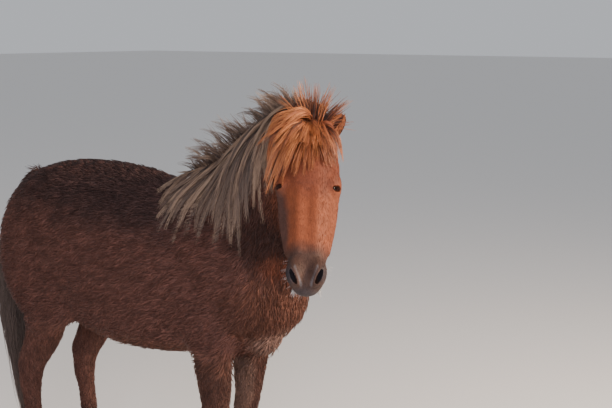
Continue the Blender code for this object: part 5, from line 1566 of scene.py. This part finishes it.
# The tail. Hair round the whole dock, longest below, hanging in locks that thin out above the ground.
tail_hair = long_hair("tail_hair", ("#241a18", "#3b2c27", "#574740", "#6d5f57"), 0.45, 0.4)
TAIL = (
    (-1.084, 0.000, 1.225, 0.044, 0.042, 0.045),
    (-1.105, 0.000, 1.175, 0.050, 0.042, 0.052),
    (-1.122, 0.000, 1.110, 0.064, 0.046, 0.062),
    (-1.137, 0.002, 1.020, 0.080, 0.050, 0.070),
    (-1.146, 0.004, 0.880, 0.100, 0.058, 0.078),
    (-1.146, 0.004, 0.690, 0.108, 0.062, 0.074),
    (-1.140, 0.002, 0.490, 0.092, 0.056, 0.060),
    (-1.132, 0.000, 0.310, 0.058, 0.038, 0.040),
    (-1.126, 0.000, 0.180, 0.020, 0.014, 0.016),
)
TAIL_RINGS = (                 # locks, top, tips, share of the tail's radius
    (14, 1.220, 0.62, 0.92),
    (14, 1.160, 0.42, 0.76),
    (14, 1.080, 0.24, 0.62),
    (12, 0.960, 0.15, 0.44),
)
TAIL_STEPS = ((0.00, 0.45), (0.08, 0.85), (0.30, 1.00), (0.52, 1.00), (0.77, 0.95), (1.00, 0.80))
rows = smooth_rows(TAIL, 4)
tails = [Hairs(51, 8), Hairs(52, 8)]
for ring, (locks, top, tips, share) in enumerate(TAIL_RINGS):
    for i in range(locks):
        angle = 2 * math.pi * (i + 0.5 * (ring % 2)) / locks + draw.uniform(-0.15, 0.15)
        across = Vector((-math.cos(angle), math.sin(angle), 0))
        begin = top + draw.uniform(-0.03, 0.005)
        finish_at = tips + draw.uniform(-0.05, 0.12)
        wander = draw.uniform(-0.3, 0.3)
        path = []
        for down, spread in TAIL_STEPS:
            z = begin + (finish_at - begin) * down
            row = rows[np.argmin(np.abs(rows[:, 2] - z))]
            turned = angle + wander * down
            out = Vector((-row[5] * math.cos(turned), row[3] * math.sin(turned), 0))
            if out.x > 0:
                out.x *= row[4] / row[5]
            path.append(Vector((row[0], row[1], z)) + out * spread * share)
        tails[ring % 2].lock(path, [across] * len(path), 52, 0.040, 0.026, hair=0.0014, close=0.45, wave=0.010)
for number, part in enumerate(tails):
    piece = grown(f"tail_hair_{number + 1}", part.mesh("tail"), hair_tree, {"Sides": 3, "Material": tail_hair},
                  tail_hair)
    settle(piece, "tail", ["tail"] if number == 0 else ())


# Whiskers, lashes and the down at the lips. Single stiff hairs, pale with frost round the mouth and dark at the eyes.
pale_hair = long_hair("frosted_whiskers", ("#8f8a86", "#a8a39f", "#c4c0bc", "#d2cfcc"), 0.4, 0.5)
dark_hair = long_hair("dark_lashes", ("#1c120e", "#2c1c15", "#3d281d", "#3d281d"), 0.45, 0.2)


def sprout(hairs, spot, way, length, hair, droop=0.0):
    """One hair that leaves the skin along a way and bends down a little."""
    at, normal, _ = nearest(HEAD @ Vector(spot))
    start = (normal + Vector(way)).normalized()
    path = [at - normal * 0.002]
    for k in range(1, 6):
        path.append(at + start * length * k / 5 + DOWN * droop * length * (k / 5) ** 2)
    hairs.lock(path, [normal.orthogonal()] * 6, 1, 0.0, 0.0, hair=hair, ragged=0.2, wave=0.0)


whiskers = Hairs(61, 5)
for i in range(150):
    angle = draw.uniform(-1.0, 1.0) * math.pi * 0.62
    low = draw.uniform(0, 1)
    spot = (0.560 - 0.050 * low * draw.random(), 0.046 * math.sin(angle), -0.082 - 0.045 * low * draw.random())
    down_here = HEAD.to_3x3() @ Vector((0.7, draw.uniform(-0.5, 0.5), -0.2))
    sprout(whiskers, spot, down_here * 0.8, draw.uniform(0.006, 0.022), 0.00035, 0.25)
for side in (1, -1):
    for i in range(16):
        spot = (draw.uniform(0.47, 0.54), 0.055 * side, draw.uniform(-0.085, -0.04))
        sprout(whiskers, spot, (0, 0, 0), draw.uniform(0.010, 0.030), 0.0003, 0.3)
piece = grown("whiskers", whiskers.mesh("whiskers"), hair_tree, {"Sides": 3, "Material": pale_hair}, pale_hair)
settle(piece, "head")

lashes = Hairs(62, 4)
for side in (1, -1):
    place = eye_place(side)
    up = -1 if (place.to_3x3().inverted() @ Vector(HEAD.col[0][:3])).y > 0 else 1
    for i in range(34):
        share = draw.uniform(-1, 1)
        spot = HEAD.inverted() @ (place @ Vector((0.016 * share, up * 0.0115 * math.sqrt(1 - 0.8 * share**2), 0.022)))
        way = place.to_3x3() @ Vector((0.3 * share, up * 0.1, 1.0))
        sprout(lashes, spot, way * 1.5, draw.uniform(0.009, 0.016), 0.0005, 0.5)
piece = grown("lashes", lashes.mesh("lashes"), hair_tree, {"Sides": 3, "Material": dark_hair}, dark_hair)
settle(piece, "head")

ear_hair = Hairs(63, 5)
for side in (1, -1):
    place = ear_place(side)
    for i in range(120):
        share = draw.uniform(0.25, 0.85)
        edge = draw.choice((-1, 1)) * draw.uniform(0.4, 1.0)
        wide = np.interp(share, [row[0] for row in EAR], [row[1] for row in EAR])
        at = place @ Vector((share * EAR_LENGTH, edge * wide - 0.014 * side * share**2, 0.012 * share**2 - 0.006))
        way = place.to_3x3() @ Vector((0.9, -0.6 * edge, 0.8))
        path = [at + way.normalized() * 0.030 * k / 5 * varied(0.2) for k in range(6)]
        ear_hair.lock(path, [way.orthogonal()] * 6, 3, 0.004, 0.004, hair=0.0006, wave=0.002)
piece = grown("ear_hair", ear_hair.mesh("ear hair"), hair_tree, {"Sides": 3, "Material": forelock_hair}, forelock_hair)
settle(piece, "ear_left")


# The floor, the light and the camera. Plain and pale, with a warm soft key from the right of the picture.
floor_mesh = bpy.data.meshes.new("floor")
floor_mesh.from_pydata([(-70, -70, 0), (70, -70, 0), (70, 70, 0), (-70, 70, 0)], [], [(0, 1, 2, 3)])
pale, tree, shader = new_material("pale_studio_floor")
shader.inputs["Base Color"].default_value = linear("#dcdad8")
shader.inputs["Roughness"].default_value = 0.8
floor_mesh.materials.append(pale)
floor = bpy.data.objects.new("floor", floor_mesh)
bpy.context.scene.collection.objects.link(floor)

world = bpy.data.worlds.new("pale room")
world.use_nodes = True
world.node_tree.nodes["Background"].inputs["Color"].default_value = linear("#dde0e6")
world.node_tree.nodes["Background"].inputs["Strength"].default_value = 0.72
bpy.context.scene.world = world


def lamp(name, at, aim, watts, size, code):
    light = bpy.data.lights.new(name, "AREA")
    light.energy = watts
    light.size = size
    light.color = linear(code)[:3]
    obj = bpy.data.objects.new(name, light)
    bpy.context.scene.collection.objects.link(obj)
    obj.matrix_world = Matrix.Translation(at) @ (Vector(aim) - Vector(at)).to_track_quat("-Z", "Y").to_matrix().to_4x4()


lamp("key", (4.3, 1.3, 3.3), (0.7, 0, 1.2), 470, 1.4, "#ffe6cc")
lamp("fill", (4.4, -4.6, 2.6), (-0.1, 0, 1.0), 290, 2.6, "#f3f3ff")

CAMERA_DROP = math.atan((204 - 30) / 1050)
ahead = Vector((-0.5990, 0.8007, 0))
view_way = ahead * math.cos(CAMERA_DROP) - Vector((0, 0, 1)) * math.sin(CAMERA_DROP)
lens = bpy.data.cameras.new("camera")
lens.sensor_width = 36
lens.lens = 61.765
camera = bpy.data.objects.new("camera", lens)
bpy.context.scene.collection.objects.link(camera)
camera.matrix_world = Matrix.Translation(Vector((2.6244, -2.895, 1.948)) + SHIFT) @ \
    view_way.to_track_quat("-Z", "Y").to_matrix().to_4x4()
bpy.context.scene.camera = camera
